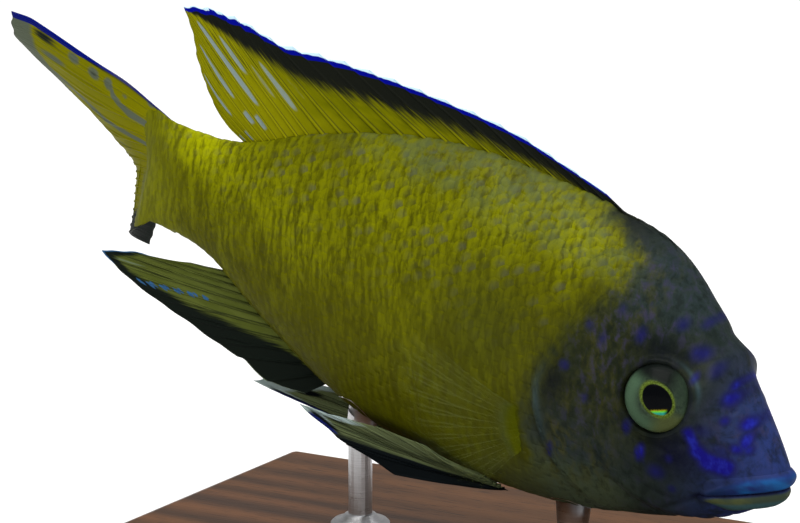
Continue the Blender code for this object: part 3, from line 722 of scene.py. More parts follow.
def markings_group():
    """The fish's body colours: an olive to yellow flank with wavy upright lines and grey-violet scale
    middles, a slate head with violet dashes and blue spots, and turquoise lips."""
    outputs = {"Color": "Color", "Height": "Float", "Roughness": "Float"}
    group, w, given, result = new_group("body markings", dict.fromkeys(MARKING_FIELDS, "Vector"), outputs)
    place = given["Place"]
    head, violet, blue = w.parts(given["Face"])
    gold, shade, lip = w.parts(given["Glints"])
    sun, chest, turquoise = w.parts(given["Flank"])
    along, across, luck = w.parts(given["Tile"])
    ahead, sideways, height = w.parts(place)

    # The upright lines lean back as they rise, sway and tremble
    leaned = w.scaled(height, -0.27, ahead)
    upright = w.node("ShaderNodeCombineXYZ", (leaned, sideways, height)).outputs[0]
    phase = w.scaled(w.noise(place, 14.0), 26.0, w.times(w.noise(place, 75.0, 2.0, 0.6), 9.0))
    lines = w.scaled(w.math("SINE", w.scaled(leaned, 470.0, phase)), 0.5, 0.5)
    wisps = w.noise(upright, (125.0, 60.0, 32.0), 4.0, 0.65, 0.5)
    wavy = w.noise(upright, (58.0, 40.0, 20.0), 3.0, 0.6, 0.6)
    cloud = w.noise(upright, (9.0, 6.0, 5.0))
    blotches = w.noise(place, 22.0, 3.0, 0.6)
    patches = w.noise(place, 46.0, 3.0, 0.65, 0.3)
    speckle = w.noise(place, 240.0, 2.0, 0.6)

    # The flank: dark olive between wavy yellow lines, with greyer scale middles on the upper half,
    # painted sheen along the upper back and painted shade towards the belly
    upper = w.span(height, 0.00, 0.15)
    stalk = w.span(ahead, 0.90, 1.02)
    olive = w.mix(w.span(blotches, 0.30, 0.70), (67, 68, 0), (79, 80, 0))
    olive = w.mix(w.times(stalk, 0.85), olive, (92, 94, 6))
    crest = w.scaled(lines, 0.22, w.times(w.span(wisps, 0.28, 0.72), 0.72))
    crest = w.scaled(w.times(w.span(along, 0.42, 0.80), upper), 0.22, crest)
    # Sun, partly painted sheen from above, brightens the yellow lines
    crest = w.scaled(sun, 0.26, crest)
    valley = w.times(w.span(lines, 0.30, 0.04), w.span(wavy, 0.42, 0.60), w.scaled(stalk, -0.9, 1.0), 0.18)
    middle = w.times(
        w.span(w.math("ABSOLUTE", across), 0.80, 0.20), w.span(along, 0.22, 0.50), w.span(along, 0.94, 0.62),
        w.scaled(upper, 0.52, 0.06), w.span(luck, 0.20, 0.75, 0.18, 1.0),
        w.span(patches, 0.35, 0.60, 0.35, 1.0),
    )
    flank = w.layers(
        w.mix(w.span(crest, 0.16, 0.96), olive, w.mix(sun, (98, 100, 0), (144, 148, 0))),
        (valley, (46, 48, 0)),
        (w.span(wavy, 0.56, 0.76, 0.0, 0.26), (56, 58, 4)),
        (w.times(w.span(cloud, 0.42, 0.62, 0.0, 0.34), w.span(sun, 0.6, 0.2)), (60, 58, 0)),
        (middle, w.mix(w.span(luck, 0.60, 0.90), (62, 64, 30), (76, 78, 62))),
        # Painted sheen: a paler grey-green band along the upper back
        (w.times(w.span(patches, 0.38, 0.62), w.span(height, 0.150, 0.200), w.span(sun, 0.8, 0.2), 0.52),
         (80, 92, 56)),
        # Chest: painted shade low on the front and the belly, and darker behind the gill cover and by the
        # head's border
        (w.times(chest, 0.66), (50, 54, 14)),
        # Painted shade: the flank darkens towards the belly
        (w.span(height, 0.04, -0.18, 0.0, 0.36), (52, 52, 0)),
        (w.times(w.span(height, -0.08, -0.15), w.span(ahead, 0.42, 0.30), 0.72), (60, 68, 52)),
    )

    # The head: slate on the forehead, violet-blue on the snout, brown-olive behind the eye
    dashes = w.noise(upright, (62.0, 34.0, 40.0), 3.0, 0.6, 0.3)
    other = w.noise(upright, (95.9, 60.28, 63.02), 3.0, 0.6, 0.3)
    brow = w.times(w.span(height, 0.105, 0.175), w.span(ahead, 0.33, 0.22), 0.85)
    slate = w.layers(
        w.mix(w.span(patches, 0.35, 0.65), (25, 31, 18), (37, 42, 24)),
        (brow, w.mix(patches, (28, 38, 38), (44, 56, 58))),
        (w.times(w.span(height, 0.02, -0.06), 0.6), (38, 48, 50)),
        (w.times(w.span(height, -0.05, -0.10), w.span(ahead, 0.15, 0.21)), (62, 72, 54)),
        (w.span(ahead, 0.150, 0.030, 0.0, 0.90),
         w.mix(w.span(patches, 0.30, 0.62), (24, 33, 58), (38, 52, 106))),
        (w.times(gold, w.span(dashes, 0.40, 0.64), 0.58), (62, 61, 18)),
        (w.times(violet, w.span(other, 0.46, 0.72), 0.62), (56, 52, 78)),
        (w.times(w.span(other, 0.50, 0.32), w.span(ahead, 0.10, 0.18), 0.50), (16, 21, 19)),
    )

    # The lips: the upper one a blue band with a painted highlight in its middle, the lower olive over
    # turquoise.
    # On them sun runs from 0 at the mouth line to 1 at the outer edge
    shimmer = w.noise(place, (30.0, 16.0, 60.0))
    upper_lip = w.layers(
        # Painted highlight: brighter blue in patches at the upper lip's middle, towards the snout
        w.mix(w.times(w.span(shimmer, 0.36, 0.66), w.span(ahead, 0.062, 0.036)), (28, 42, 92), (24, 78, 132)),
        (w.span(sun, 0.55, 1.0, 0.0, 0.70), (38, 42, 110)),
        (w.span(ahead, 0.036, 0.076, 0.0, 0.85), (20, 36, 64)),
    )
    lower_lip = w.layers(
        w.mix(w.span(shimmer, 0.40, 0.66), (50, 60, 48), (68, 74, 46)),
        (w.times(w.span(sun, 0.26, 0.42), w.span(sun, 0.90, 0.62), 0.85), (48, 76, 80)),
    )

    # All together: flank and head with a torn border, shade, blue with a ragged edge, lips, fine dark grain
    torn = w.scaled(w.plus(dashes, patches), 0.70, w.plus(head, -0.70))
    ragged = w.scaled(w.noise(upright, (80.0, 60.0, 60.0), 3.0, 0.6), 1.2, -0.60)
    blue_field = w.times(blue, w.scaled(ragged, 0.40, 1.0))
    colour = w.layers(
        w.mix(w.span(torn, 0.14, 0.86), flank, slate),
        (w.times(shade, w.span(speckle, 0.2, 0.8, 0.75, 1.0), 0.92),
         w.mix(w.span(ahead, 0.17, 0.14), (8, 11, 20), (8, 9, 36))),
        (w.times(turquoise, 0.50), (58, 80, 88)),
        (w.span(blue_field, 0.05, 0.42, 0.0, 0.66), (22, 22, 78)),
        (w.span(blue_field, 0.32, 0.88), w.mix(w.span(ragged, -0.10, 0.25), (18, 14, 112), (30, 36, 140))),
        (w.span(w.math("ABSOLUTE", lip), 0.06, 0.80), w.mix(w.span(lip, -0.01, 0.01), lower_lip, upper_lip)),
        (w.times(speckle, 0.16), (12, 14, 8)),
    )
    w.put(result["Color"], colour)
    w.put(result["Height"], w.times(w.plus(speckle, wisps), 0.5))
    w.put(result["Roughness"], w.scaled(blotches, 0.20, 0.34))
    return group


def body_material(name, group, bump):
    """A material with the fish's markings, for the skin or the scales."""
    values = {"Coat Weight": 0.03, "Coat Roughness": 0.25, "Specular IOR Level": 0.015}
    material, w, shader = new_material(name, values)
    fields = {socket: w.attribute(socket.lower()) for socket in MARKING_FIELDS}
    marks = w.node("ShaderNodeGroup", fields, node_tree=group).outputs
    paint(w, shader, marks["Color"], marks["Height"], bump, roughness=marks["Roughness"])
    return material


FIN_COLOURS = ("Membrane", "Ray", "Dark", "Blue", "Pale", "Fringe")
FRINGE_WHITE = (186, 214, 228)


def fin_group():
    """Fin colours: membrane and ray colours, each ray with a thin dark line to both sides, then
    whitened, darkened and blued by three fields with streaked borders. Past the blue comes a fringe."""
    inputs = dict.fromkeys(FIN_COLOURS, "Color")
    inputs |= {"Ink": "Vector", "Span": "Vector", "Glow": "Float", "Line Strength": "Float"}
    group, w, given, result = new_group("fin paint", inputs, {"Color": "Color", "Height": "Float"})
    dark, blue, pale = w.parts(given["Ink"])
    ray = w.parts(given["Span"])[0]
    streak = w.noise(given["Span"], (0.0, 70.0, 3.5), 3.0, 0.6)
    patch = w.noise(given["Span"], (0.0, 12.0, 5.0))
    beside = w.span(w.math("ABSOLUTE", w.plus(ray, -0.22)), 0.20, 0.06)
    ragged = w.scaled(streak, 0.9, -0.45)
    blued = w.scaled(ragged, 0.3, blue)
    w.put(result["Color"], w.layers(
        given["Membrane"],
        (w.span(patch, 0.3, 0.7, 0.0, 0.45), given["Ray"]),
        (given["Glow"], given["Ray"]),
        (w.span(ray, 0.45, 0.85, 0.0, 0.25), given["Ray"]),
        (w.times(beside, given["Line Strength"]), given["Dark"]),
        (w.span(w.scaled(ragged, 0.5, pale), 0.25, 0.70), given["Pale"]),
        (w.span(w.plus(dark, ragged), 0.22, 0.74), given["Dark"]),
        (w.span(blued, 0.40, 0.60), given["Blue"]),
        (w.span(blued, 1.30, 1.70), given["Fringe"]),
    ))
    w.put(result["Height"], w.scaled(streak, 0.5, ray))
    return group


def fin_material(name, group, colours, lines, alpha=None):
    """A fin's material, with the shared fin paint and its own colours, and for a clear fin the alpha
    of its membrane and of its rays, which fade towards the tips."""
    material, w, shader = new_material(name, {"Roughness": 0.50, "Specular IOR Level": 0.05, "IOR": 1.2})
    given = dict(zip(FIN_COLOURS, (*colours, FRINGE_WHITE)))
    given |= {"Line Strength": lines, "Glow": w.attribute("glow", "Fac")}
    given |= {"Ink": w.attribute("ink"), "Span": w.attribute("span")}
    fin = w.node("ShaderNodeGroup", given, node_tree=group).outputs
    paint(w, shader, fin["Color"], fin["Height"], 0.00006)
    if alpha is not None:
        ridge, across, out = w.parts(given["Span"])
        solid = w.math("MAXIMUM", w.times(ridge, 0.5), w.span(out, 0.24, 0.02))
        faded = w.times(w.span(solid, 0.0, 1.0, *alpha), w.span(out, 1.0, 0.55, 0.10, 1.0))
        w.put(shader.inputs["Alpha"], faded)
    return material


def eye_material():
    """The eye: a black pupil with a yellow-green glint low in it and a gold-green ring, and a thick
    pale sage iris with a painted shadow of the lid over its top, all under a clear hard gloss."""
    values = {"Roughness": 0.45, "Coat Weight": 0.03, "Specular IOR Level": 0.03}
    material, w, shader = new_material("eye", values)
    disc = w.attribute("disc")
    out, east, north = w.parts(disc)
    threads = w.noise(disc, (4.0, 6.0, 6.0), 3.0, 0.6, 0.8)
    fine = w.noise(disc, (0.0, 24.0, 24.0), 2.0, 0.6)
    left = w.span(w.scaled(north, 0.7, east), 0.05, -0.55, 0.10, 1.0)
    # How far up towards the lid, for the painted shadow of the lid over the iris's top
    lid_shadow_rise = w.scaled(east, 0.10, north)
    sage = w.layers(
        w.mix(w.span(threads, 0.35, 0.65), (34, 44, 34), (50, 64, 48)),
        (w.times(w.span(out, 0.46, 0.72), w.span(out, 1.0, 0.88), left), (62, 84, 64)),
        (w.times(w.span(east, -0.10, 0.35), w.span(north, -0.05, -0.40), 0.7), (76, 82, 44)),
        (w.span(fine, 0.50, 0.75, 0.0, 0.30), (34, 46, 36)),
        # Painted shadow of the lid: the iris goes dark over its top
        (w.times(w.span(lid_shadow_rise, 0.16, 0.62), w.span(east, 0.75, 0.10), 0.95), (9, 12, 12)),
        (w.times(w.span(east, 0.05, 0.60), w.span(north, -0.20, 0.30), 0.60), (34, 46, 36)),
    )
    gold = w.mix(w.span(fine, 0.35, 0.65), (58, 70, 14), (88, 106, 40))
    tall = w.math("SQRT", w.scaled(north, w.times(north, 1.30), w.times(east, east)))
    oval = w.scaled(w.times(north, east), 0.50, tall)
    slope = w.scaled(east, -0.42, north)
    low = w.span(w.plus(slope, w.scaled(fine, 0.10, -0.05)), -0.27, -0.34)
    low = w.times(low, w.span(w.math("ABSOLUTE", w.plus(east, -0.13)), 0.26, 0.14), 0.92)
    glint = w.mix(w.span(slope, -0.31, -0.36), (150, 140, 4), (92, 188, 50))
    glint = w.mix(w.span(slope, -0.36, -0.41), glint, (44, 150, 130))
    colour = w.layers(
        w.mix(low, (1, 2, 4), glint),
        (w.span(oval, 0.425, 0.455), w.mix(w.span(oval, 0.48, 0.57), gold, sage)),
        # Painted shade: the eyeball darkens at its outer edge, where it sinks into the socket
        (w.span(out, 0.94, 1.02), (26, 34, 28)),
    )
    w.put(shader.inputs["Base Color"], colour)
    return material


def walnut_material():
    """Dark oiled walnut: long grain along the base, with pores and paler bands."""
    values = {"Coat Weight": 0.06, "Coat Roughness": 0.20, "Specular IOR Level": 0.12}
    material, w, shader = new_material("walnut", values)
    place = w.node("ShaderNodeTexCoord").outputs["Object"]
    grain = {"Scale": 0.55, "Distortion": 7.0, "Detail": 3.0, "Detail Scale": 0.8}
    grain["Vector"] = w.stretched(place, (9.0, 90.0, 60.0))
    bands = w.node("ShaderNodeTexWave", grain, wave_type="BANDS", bands_direction="Y", wave_profile="SIN")
    pores = w.noise(place, (220.0, 3800.0, 3800.0), 2.0, 0.6)
    cloud = w.noise(place, (18.0, 60.0, 60.0))
    wood = w.layers(
        w.mix(bands.outputs["Fac"], (54, 33, 17), (92, 58, 32)),
        (w.span(cloud, 0.35, 0.70, 0.0, 0.6), (112, 74, 42)),
        (w.span(pores, 0.58, 0.66, 0.0, 0.7), (30, 18, 9)),
    )
    paint(w, shader, wood, w.times(pores, -1.0), 0.00006, 0.6, w.scaled(cloud, 0.15, 0.34))
    return material


def steel_material():
    """Brushed steel, its scratches running round the rods."""
    material, w, shader = new_material("brushed steel", {"Metallic": 1.0})
    place = w.node("ShaderNodeTexCoord").outputs["Object"]
    lines = w.noise(place, (300.0, 300.0, 9000.0), 3.0, 0.7)
    metal = w.mix(lines, (150, 150, 152), (206, 206, 208))
    paint(w, shader, metal, lines, 0.00003, 0.5, w.scaled(lines, 0.22, 0.20))
    return material


# The skin

AROUND = 240
RINGS_AT_GILL_EDGE = (-0.006, -0.0035, -0.0018, -0.0008, 0.0, 0.0008, 0.0018, 0.0035, 0.006)
BODY_NODES = (
    "head", "lower_jaw", "upper_lip", "lower_lip", "trunk", "tail_stalk",
    "gill_cover_left", "gill_cover_right",
)


def eye_patch(side):
    """The skin's rim round an eye, as rings: radii from inside the eyeball out to the open skin. The
    rim rises to a soft edge and sinks onto the eyeball within it."""
    out = np.concatenate([np.linspace(0.86, 1.10, 16), np.linspace(1.13, 1.42, 10)])[:, None]
    turn = circle(96)
    station = EYE_STATION - EYE_RADIUS * out * np.cos(turn)
    angle = angle_at_height(station, EYE_HEIGHT + EYE_RADIUS * out * np.sin(turn)) * side
    rim = 0.0024 * peak(out, 1.045, 0.060) + 0.0016 * peak(out, 1.16, 0.10)
    crease = -0.0008 * peak(out, 1.22, 0.03) * (0.6 + 0.4 * np.cos(turn * 2))
    inward = EYE_SOCKET_DEPTH * (ramp(1.12, 0.92, out) - ramp(0.985, 0.86, out))
    return station, angle, rim + crease + inward - 0.0004 * ramp(1.32, 1.42, out)


def lip_patch(which):
    """A lip: curves where planes parallel to the mouth line cut the head, evenly spaced along it from
    corner to corner. Each is pushed out by a bulge that is steep at the mouth line and soft above."""
    upper = which == "upper"
    share = np.linspace(-0.12, 1.12, 18)[:, None]
    along = np.linspace(-1.0, 1.0, 120)
    aside = np.abs(along)
    fine = np.linspace(0.0, 1.0, 600) ** 2
    coarse = np.linspace(0.0, 0.04, 4001)
    lines = []
    for offset in share[:, 0] * LIP_WIDTHS[which]:
        front = MOUTH_FRONT_HEIGHT + (offset if upper else -offset)
        level = front + MOUTH_SLOPE * coarse
        inside = (level <= through(BACK_LINE, coarse)) & (level >= through(BELLY_LINE, coarse))
        first = coarse[np.argmax(inside)]
        station = first + (MOUTH_CORNER_STATION + 0.004 - first) * fine
        half = section(station, angle_at_height(station, front + MOUTH_SLOPE * station))[0]
        half[0] = 0.0
        run = running(np.hypot(np.diff(station), np.diff(half)))
        station, half = (np.interp(aside * run[-1], run, values) for values in (station, half))
        lines.append((station, half * np.sign(along), front + MOUTH_SLOPE * station))
    station, half, height = np.moveaxis(np.array(lines), 1, 0)
    points = bent(station, half, height)
    normal = unit(np.cross(np.gradient(points, axis=0), np.gradient(points, axis=1)))
    normal *= np.sign(np.sum(normal * (points - [-0.08, 0.0, 0.0]), axis=-1, keepdims=True))
    x = np.clip(share / (0.34 + 0.66 * ramp(1.0, 0.48, aside)) * 2 - 1, -1.0, 1.0)
    steep = np.sqrt(np.clip(1 - x**2, 0.0, 1.0))
    soft = np.cos(x * np.pi / 2) ** (2.0 if upper else 1.6)
    bulge = np.where(x < 0, steep, soft) * LIP_BULGES[which] * (0.12 + 0.88 * ramp(1.0, 0.52, aside))
    sink = (
        0.0045 * ramp(0.03, -0.12, share) + 0.0032 * ramp(0.84, 1.12, share) + 0.004 * ramp(0.90, 1.0, aside)
    )
    lift = bulge - sink - 0.0006 * peak(along, 0.0, 0.05)
    return points + normal * lift[..., None], station, half, height, share, aside


def skin_rings():
    """Station of each ring round the body, as head rings that follow the gill edge, a few close ones
    across that edge, and trunk rings to past the stalk."""
    angle = circle(AROUND)
    edge = gill_edge(angle)
    head = [(edge - 0.010) * t**2 for t in np.linspace(0.055, 1.0, 190)]
    step = [edge + d for d in RINGS_AT_GILL_EDGE]
    trunk = [edge + 0.010 + (SKIN_END - 0.010 - edge) * t for t in np.linspace(0.0, 1.0, 160)]
    return np.broadcast_arrays(np.array(head + step + trunk), angle)


def make_skin(material):
    """The one skin of the fish: the body's rings closed at snout and tail, with the two eye rims and
    the lips on it."""
    station, angle = skin_rings()
    rings = on_skin(station, angle)
    snout = tipped(bent(0.0, 0.0, through(BACK_LINE, 0.0)))
    points = [rings, snout, rings[-1].mean(axis=0)]
    quads = [grid_quads(*station.shape, closed=True)]
    ends = markings(np.array([1e-4, SKIN_END]), np.array([0.1, 1.5]))
    ends["place"] = np.array([[0.0, 0.0, 0.004], [SKIN_END, 0.0, 0.0]])
    marks = [markings(station, angle), ends]
    first = station.size + 2
    for side in SIDES.values():
        *place, lift = eye_patch(side)
        points.append(on_skin(*place, lift))
        quads.append(grid_quads(*lift.shape, first, closed=True)[:, ::side])
        marks.append(markings(*place))
        first += lift.size
    for which, sign in (("upper", 1), ("lower", -1)):
        lip_points, lip_station, half, height, share, aside = lip_patch(which)
        points.append(tipped(lip_points))
        quads.append(grid_quads(*half.shape, first)[:, ::sign])
        cover = ramp(1.0, 0.55, share / (0.30 + 0.70 * ramp(1.0, 0.50, aside)))
        cover = cover * ramp(0.02, 0.16, share) * ramp(1.0, 0.78, aside)
        fields = markings(lip_station, angle_at_height(lip_station, height), cover * sign)
        fields["place"] = stacked(lip_station, half, height)
        shade = fields["glints"][..., 1] * (1 - cover)
        fields["glints"][..., 1] = np.maximum(ramp(0.05, -0.08, share), shade)
        fields["flank"][..., 0] = share
        marks.append(fields)
        first += half.size
    points = np.concatenate([part.reshape(-1, 3) for part in points])
    fields = {key: np.concatenate([mark[key].reshape(-1, 3) for mark in marks]) for key in ends}
    fields["tile"] = np.zeros_like(points)
    triangles = end_fans(*station.shape)
    new_piece("skin", points, np.concatenate(quads), triangles, material, BODY_NODES, fields)


# Scales

SCALE_ROWS = 6
SCALE_ACROSS = np.array([-1.0, -0.86, -0.50, 0.0, 0.50, 0.86, 1.0])
ARC_REACH = 0.40
ARC_STEP = 0.002
PATCH_SIZE = 0.0029
EACH = (slice(None), None, None)


def arc_table(start, end):
    """Arc lengths round the body between two ring curves: for steps of t along it, the angle at
    which the arc length from the widest line reaches q. Rows are t, columns q. Then for each t the
    arc lengths at the belly's and the back's middle."""
    angle = np.radians(np.linspace(-50.0, 230.0, 561))
    q = np.linspace(-ARC_REACH, ARC_REACH, 401)
    table, edges = [], []
    for t in np.linspace(0.0, 1.0, 160):
        station = start(angle) + (end(angle) - start(angle)) * t
        run = running(np.linalg.norm(np.diff(stacked(station, *section(station, angle)), axis=0), axis=1))
        run = np.interp(np.pi / 2, angle, run) - run
        table.append(np.interp(q, run[::-1], angle[::-1]))
        edges.append(np.interp((np.pi, 0.0), angle, run))
    return np.array(table), np.array(edges)


def scale_shape():
    """One scale's own grid: how far along it (0 at the hidden root, 1 at the free edge), how far
    across (-1 to 1), and its height: a low dome that rises to the free edge and is rounded off."""
    along = np.linspace(0.0, 1.0, SCALE_ROWS)[:, None]
    aside = np.abs(SCALE_ACROSS)
    length = along * (1.0 - 0.24 * aside**2.2)
    width = SCALE_ACROSS * (0.80 + 0.24 * np.sin(np.pi * np.clip(along, 0.0, 0.5)))
    dome = 1.0 - 0.05 * aside**2 - 0.45 * (aside > 0.99)
    return length, width, (0.10 + 0.90 * length) * dome - 0.26 * (along > 0.99)


def scale_coat(name, material, start, end, columns, pitch, keep, depth, size, seed):
    """Scales between two ring curves: columns of them step along the body, each shifted by half a
    scale from the last, and rows run along it at a pitch round it. Every scale is a small closed
    plate laid along the skin, with its UV patch at its root on an unwrap by station and angle."""
    table, edges = arc_table(start, end)
    random = np.random.default_rng(seed)
    length, width, height = scale_shape()

    def at(t, q):
        """Station and angle at t along the coat and an arc length q: the line between the curves."""
        angle = read_table(table, t * (len(table) - 1), (q + ARC_REACH) / ARC_STEP)
        return start(angle) + (end(angle) - start(angle)) * t, angle

    roots = []
    for column in range(columns):
        t = column / columns
        step = pitch[0] + pitch[1] * t
        rows = (np.arange(-24, 25) + 0.5 * (column % 2)) * step
        low, high = (np.interp(t, np.linspace(0.0, 1.0, len(edges)), edge) for edge in edges.T)
        roots.append(stacked(t, rows[(rows > low + 0.30 * step) & (rows < high - 0.30 * step)]))
    root_t, root_q = np.concatenate(roots).T
    root_t = root_t + random.normal(0.0, 0.020 / columns, len(root_t))
    wanted = keep(*at(root_t, root_q))
    root_t, root_q = root_t[wanted], root_q[wanted]
    root_station, root_angle = at(root_t, root_q)
    luck = random.random(len(root_t))

    t = root_t[EACH] + (length * 2.30 - 0.50) / columns * size
    q = root_q[EACH] + width * (pitch[0] + pitch[1] * root_t)[EACH] * 0.60 * size
    station, angle = at(t, q)
    lift = height * (depth(root_station) * (0.92 + 0.16 * luck))[EACH]
    under_station, under_angle = at(t.mean(axis=(1, 2)), q.mean(axis=(1, 2)))

    def whole(top, bottom):
        """Each scale's grid of values with the one under it joined on."""
        return np.concatenate([top.reshape(len(luck), length.size, -1), bottom[:, None]], axis=1)

    first = ((length.size + 1) * np.arange(len(luck)))[EACH]
    quads = grid_quads(*length.shape) + first
    triangles = fan(grid_rim(np.arange(length.size).reshape(length.shape)), length.size) + first
    tile = whole(stacked(length, width, luck[EACH]), stacked(0.5, 0.0, luck))
    spread = np.append(stacked(length - 0.5, width * 0.5).reshape(-1, 2), [[0.0, 0.0]], axis=0) * PATCH_SIZE
    for word, side in SIDES.items():
        top, bottom = (station, angle * side), (under_station, under_angle * side)
        points = whole(on_skin(*top, lift), on_skin(*bottom, -0.0012))
        above, below = markings(*top), markings(*bottom)
        fields = {key: whole(above[key], below[key]) for key in above}
        fields["tile"] = tile
        home = stacked(0.02 + 0.92 * root_station, 0.5 + side * (0.01 + root_angle / 6.6))[:, None]
        new_piece(f"{name}_{word}", points, quads, triangles, material, (), fields, home + spread)


def make_coats(material):
    """The trunk's scales, from the gill covers to the tail fin's root, and the smaller, flatter ones
    of the nape, gill covers and cheeks."""
    def head_end(angle):
        """The gill edge, and a little past it where the edge isn't free."""
        return gill_edge(angle) + 0.010 * (1 - gill_slit(angle))

    def on_head(station, angle):
        """True on nape, cheek and gill cover, away from eye, cheek bone, free edge and throat."""
        z = section(station, angle)[1]
        turn = from_back(angle)
        nape = (z > 0.105) & (station > 0.185 - 0.25 * (z - 0.15))
        cheek = (z < 0.03) & (station > 0.165) & (turn < 128)
        free_edge = (gill_slit(angle) > 0.3) & (station - gill_edge(angle) > -0.030)
        ridge = (np.abs(from_cheek(station, z)[0] - 0.113) < 0.008) & (z < 0.09) & (turn > 60)
        scaly = nape | cheek | (station > 0.235)
        return scaly & (from_eye(station, z) > 1.42) & ~free_edge & ~ridge & (turn < 150)

    scale_coat(
        "scales_trunk", material, gill_edge, lambda angle: np.full_like(angle, 1.060), 52, (0.0218, -0.0071),
        lambda station, angle: station < 1.040,
        lambda station: COAT_DEPTH * (1.0 - 0.80 * ramp(0.85, 1.04, station)), 1.0, seed=3,
    )
    scale_coat(
        "scales_head", material, lambda angle: np.full_like(angle, 0.115), head_end, 15, (0.0135, 0.0065),
        on_head, lambda station: 0.0010 + 0.0020 * ramp(0.18, 0.32, station), 0.96, seed=5,
    )


# Fins. Down a fin's grid run the rays, across it the way out from root to edge

MIDDLE_FIN_STEPS = 64
MIDDLE_FIN_SINK = 0.012
FLAT_FIN_STEPS = 56
TAIL_FIN_STEPS = 72
FIRST_STREAKED = 13
# The soft dorsal's streaks between rays: strength, start, end, and the place of a dash under it
DORSAL_STREAKS = (
    (0.30, 0.35, 0.60, 0.0), (0.40, 0.30, 0.62, 0.0), (0.62, 0.22, 0.72, 0.0), (0.45, 0.30, 0.66, 0.0),
    (0.70, 0.48, 0.86, 0.0), (1.00, 0.26, 0.97, 0.0), (0.00, 0.50, 0.60, 0.17), (1.00, 0.40, 0.96, 0.24),
    (0.00, 0.50, 0.60, 0.0), (1.00, 0.36, 0.97, 0.14), (0.00, 0.50, 0.60, 0.0), (0.00, 0.50, 0.60, 0.18),
)
# The tail's grey spots and dark smudges: place down and out, reach down and out, strength
TAIL_SPOTS = (
    (0.050, 0.63, 0.024, 0.040, 0.95), (0.060, 0.50, 0.027, 0.036, 1.10), (0.066, 0.405, 0.032, 0.028, 1.10),
    (0.108, 0.775, 0.015, 0.095, 0.85), (0.020, 0.15, 0.016, 0.022, 0.95), (0.012, 0.03, 0.016, 0.022, 0.95),
    (0.080, 0.30, 0.020, 0.022, 0.60), (0.078, 0.12, 0.022, 0.022, 0.60), (0.600, 0.17, 0.200, 0.035, 0.50),
    (0.920, 0.03, 0.030, 0.040, 0.60), (0.420, 0.10, 0.060, 0.035, 0.55),
)
TAIL_SMUDGES = (
    (0.045, 0.82, 0.022, 0.085, 0.80), (0.060, 0.50, 0.022, 0.030, 0.45), (0.200, 0.03, 0.060, 0.050, 0.40),
)
# Membrane, ray, dark, blue and pale of each fin
DORSAL_COLOURS = ((90, 92, 0), (124, 122, 4), (20, 22, 17), (2, 8, 126), (120, 134, 132))
ANAL_COLOURS = ((72, 80, 30), (92, 100, 46), (17, 22, 18), (46, 84, 122), (104, 118, 96))
TAIL_COLOURS = ((96, 95, 0), (116, 114, 0), (24, 30, 26), (3, 14, 100), (80, 87, 72))
PECTORAL_COLOURS = ((76, 84, 40), (92, 102, 56), (60, 62, 30), (90, 110, 100), (90, 96, 4))
PELVIC_COLOURS = ((88, 98, 66), (80, 86, 56), (12, 16, 18), (20, 28, 84), (142, 158, 156))


def knots_at(knots, share):
    """Columns of the listed rays read at shares of the way across the fin."""
    knots = np.array(knots)
    place = np.linspace(0.0, 1.0, len(knots))
    return [np.interp(share, place, column) for column in knots.T]


def ray_ridges(numbers, out, branching):
    """How high the nearest ray stands, 0 to 1, at a ray number and a share of the way out. A soft ray
    splits in two at half and in four at three quarters of its length."""
    first = 0.16 * ramp(0.40, 0.62, out) * branching
    second = 0.07 * ramp(0.68, 0.86, out) * branching
    off = np.abs(np.abs(np.abs(numbers - np.round(numbers)) - first) - second)
    return peak(off, 0.0, 0.105 - 0.055 * out)


def fin_plate(node, material, middle, numbers, branching, ink, thick, thin=0.0009, glow=0.0):
    """A fin as a closed plate: a grid of middle points, thickened to both sides by a membrane and by
    the rays that stand out of it, with a wall round its rim."""
    rays, steps = middle.shape[:2]
    out = np.linspace(0.0, 1.0, steps)
    ridge = ray_ridges(numbers, out, branching)
    half = thin * (1.0 - 0.45 * out) + thick * ridge * (1.0 - 0.82 * out)
    half = half * (0.35 + 0.65 * ramp(1.0, 0.97, out))
    push = unit(np.cross(np.gradient(middle, axis=0), np.gradient(middle, axis=1))) * half[..., None]
    count = rays * steps
    rim = grid_rim(np.arange(count).reshape(rays, steps))
    after = np.roll(rim, -1)
    face = grid_quads(rays, steps)
    wall = np.stack([rim, after, after + count, rim + count], axis=-1)
    quads = np.concatenate([face[:, ::-1], face + count, wall])
    fields = {
        "ink": ink, "span": stacked(ridge, numbers * 0.1, out), "glow": np.broadcast_to(glow, (rays, steps)),
    }
    fields = {key: np.stack([values, values]) for key, values in fields.items()}
    points = tipped(np.stack([middle + push, middle - push]))
    new_piece(node + "_skin", points, quads, np.zeros((0, 3)), material, (node,), fields)


def lappets(numbers, spiny, amount):
    """How far the edge runs past or short of the rays' tips: a pointed flap just behind each spine and
    a notch before the next, and a fine ripple on the soft part."""
    part = numbers - np.floor(numbers)
    flap = amount * ((1 - part) ** 1.4 - 0.75 * part**1.6)
    return flap * spiny + 0.0016 * np.cos(2 * np.pi * numbers) * (1 - spiny)


def middle_fin_grid(table, line, sign, share, extra):
    """Middle points of the dorsal or anal fin: straight rays off the back or belly line. The last
    part of each ray is lengthened by extra, and its root starts sunk below the line."""
    root, length, lean = knots_at(table, share)
    lean = np.radians(lean)
    out = np.linspace(0.0, 1.0, MIDDLE_FIN_STEPS)
    reach = length * out + extra * out**6 - MIDDLE_FIN_SINK * (1 - out) ** 3
    height = through(line, root) + sign * reach * np.sin(lean)
    return root + reach * np.cos(lean), height, (length + extra) * (1 - out), out


def between_rays(numbers):
    """1 midway between two rays and 0 at them."""
    return np.sin(np.pi * numbers) ** 2


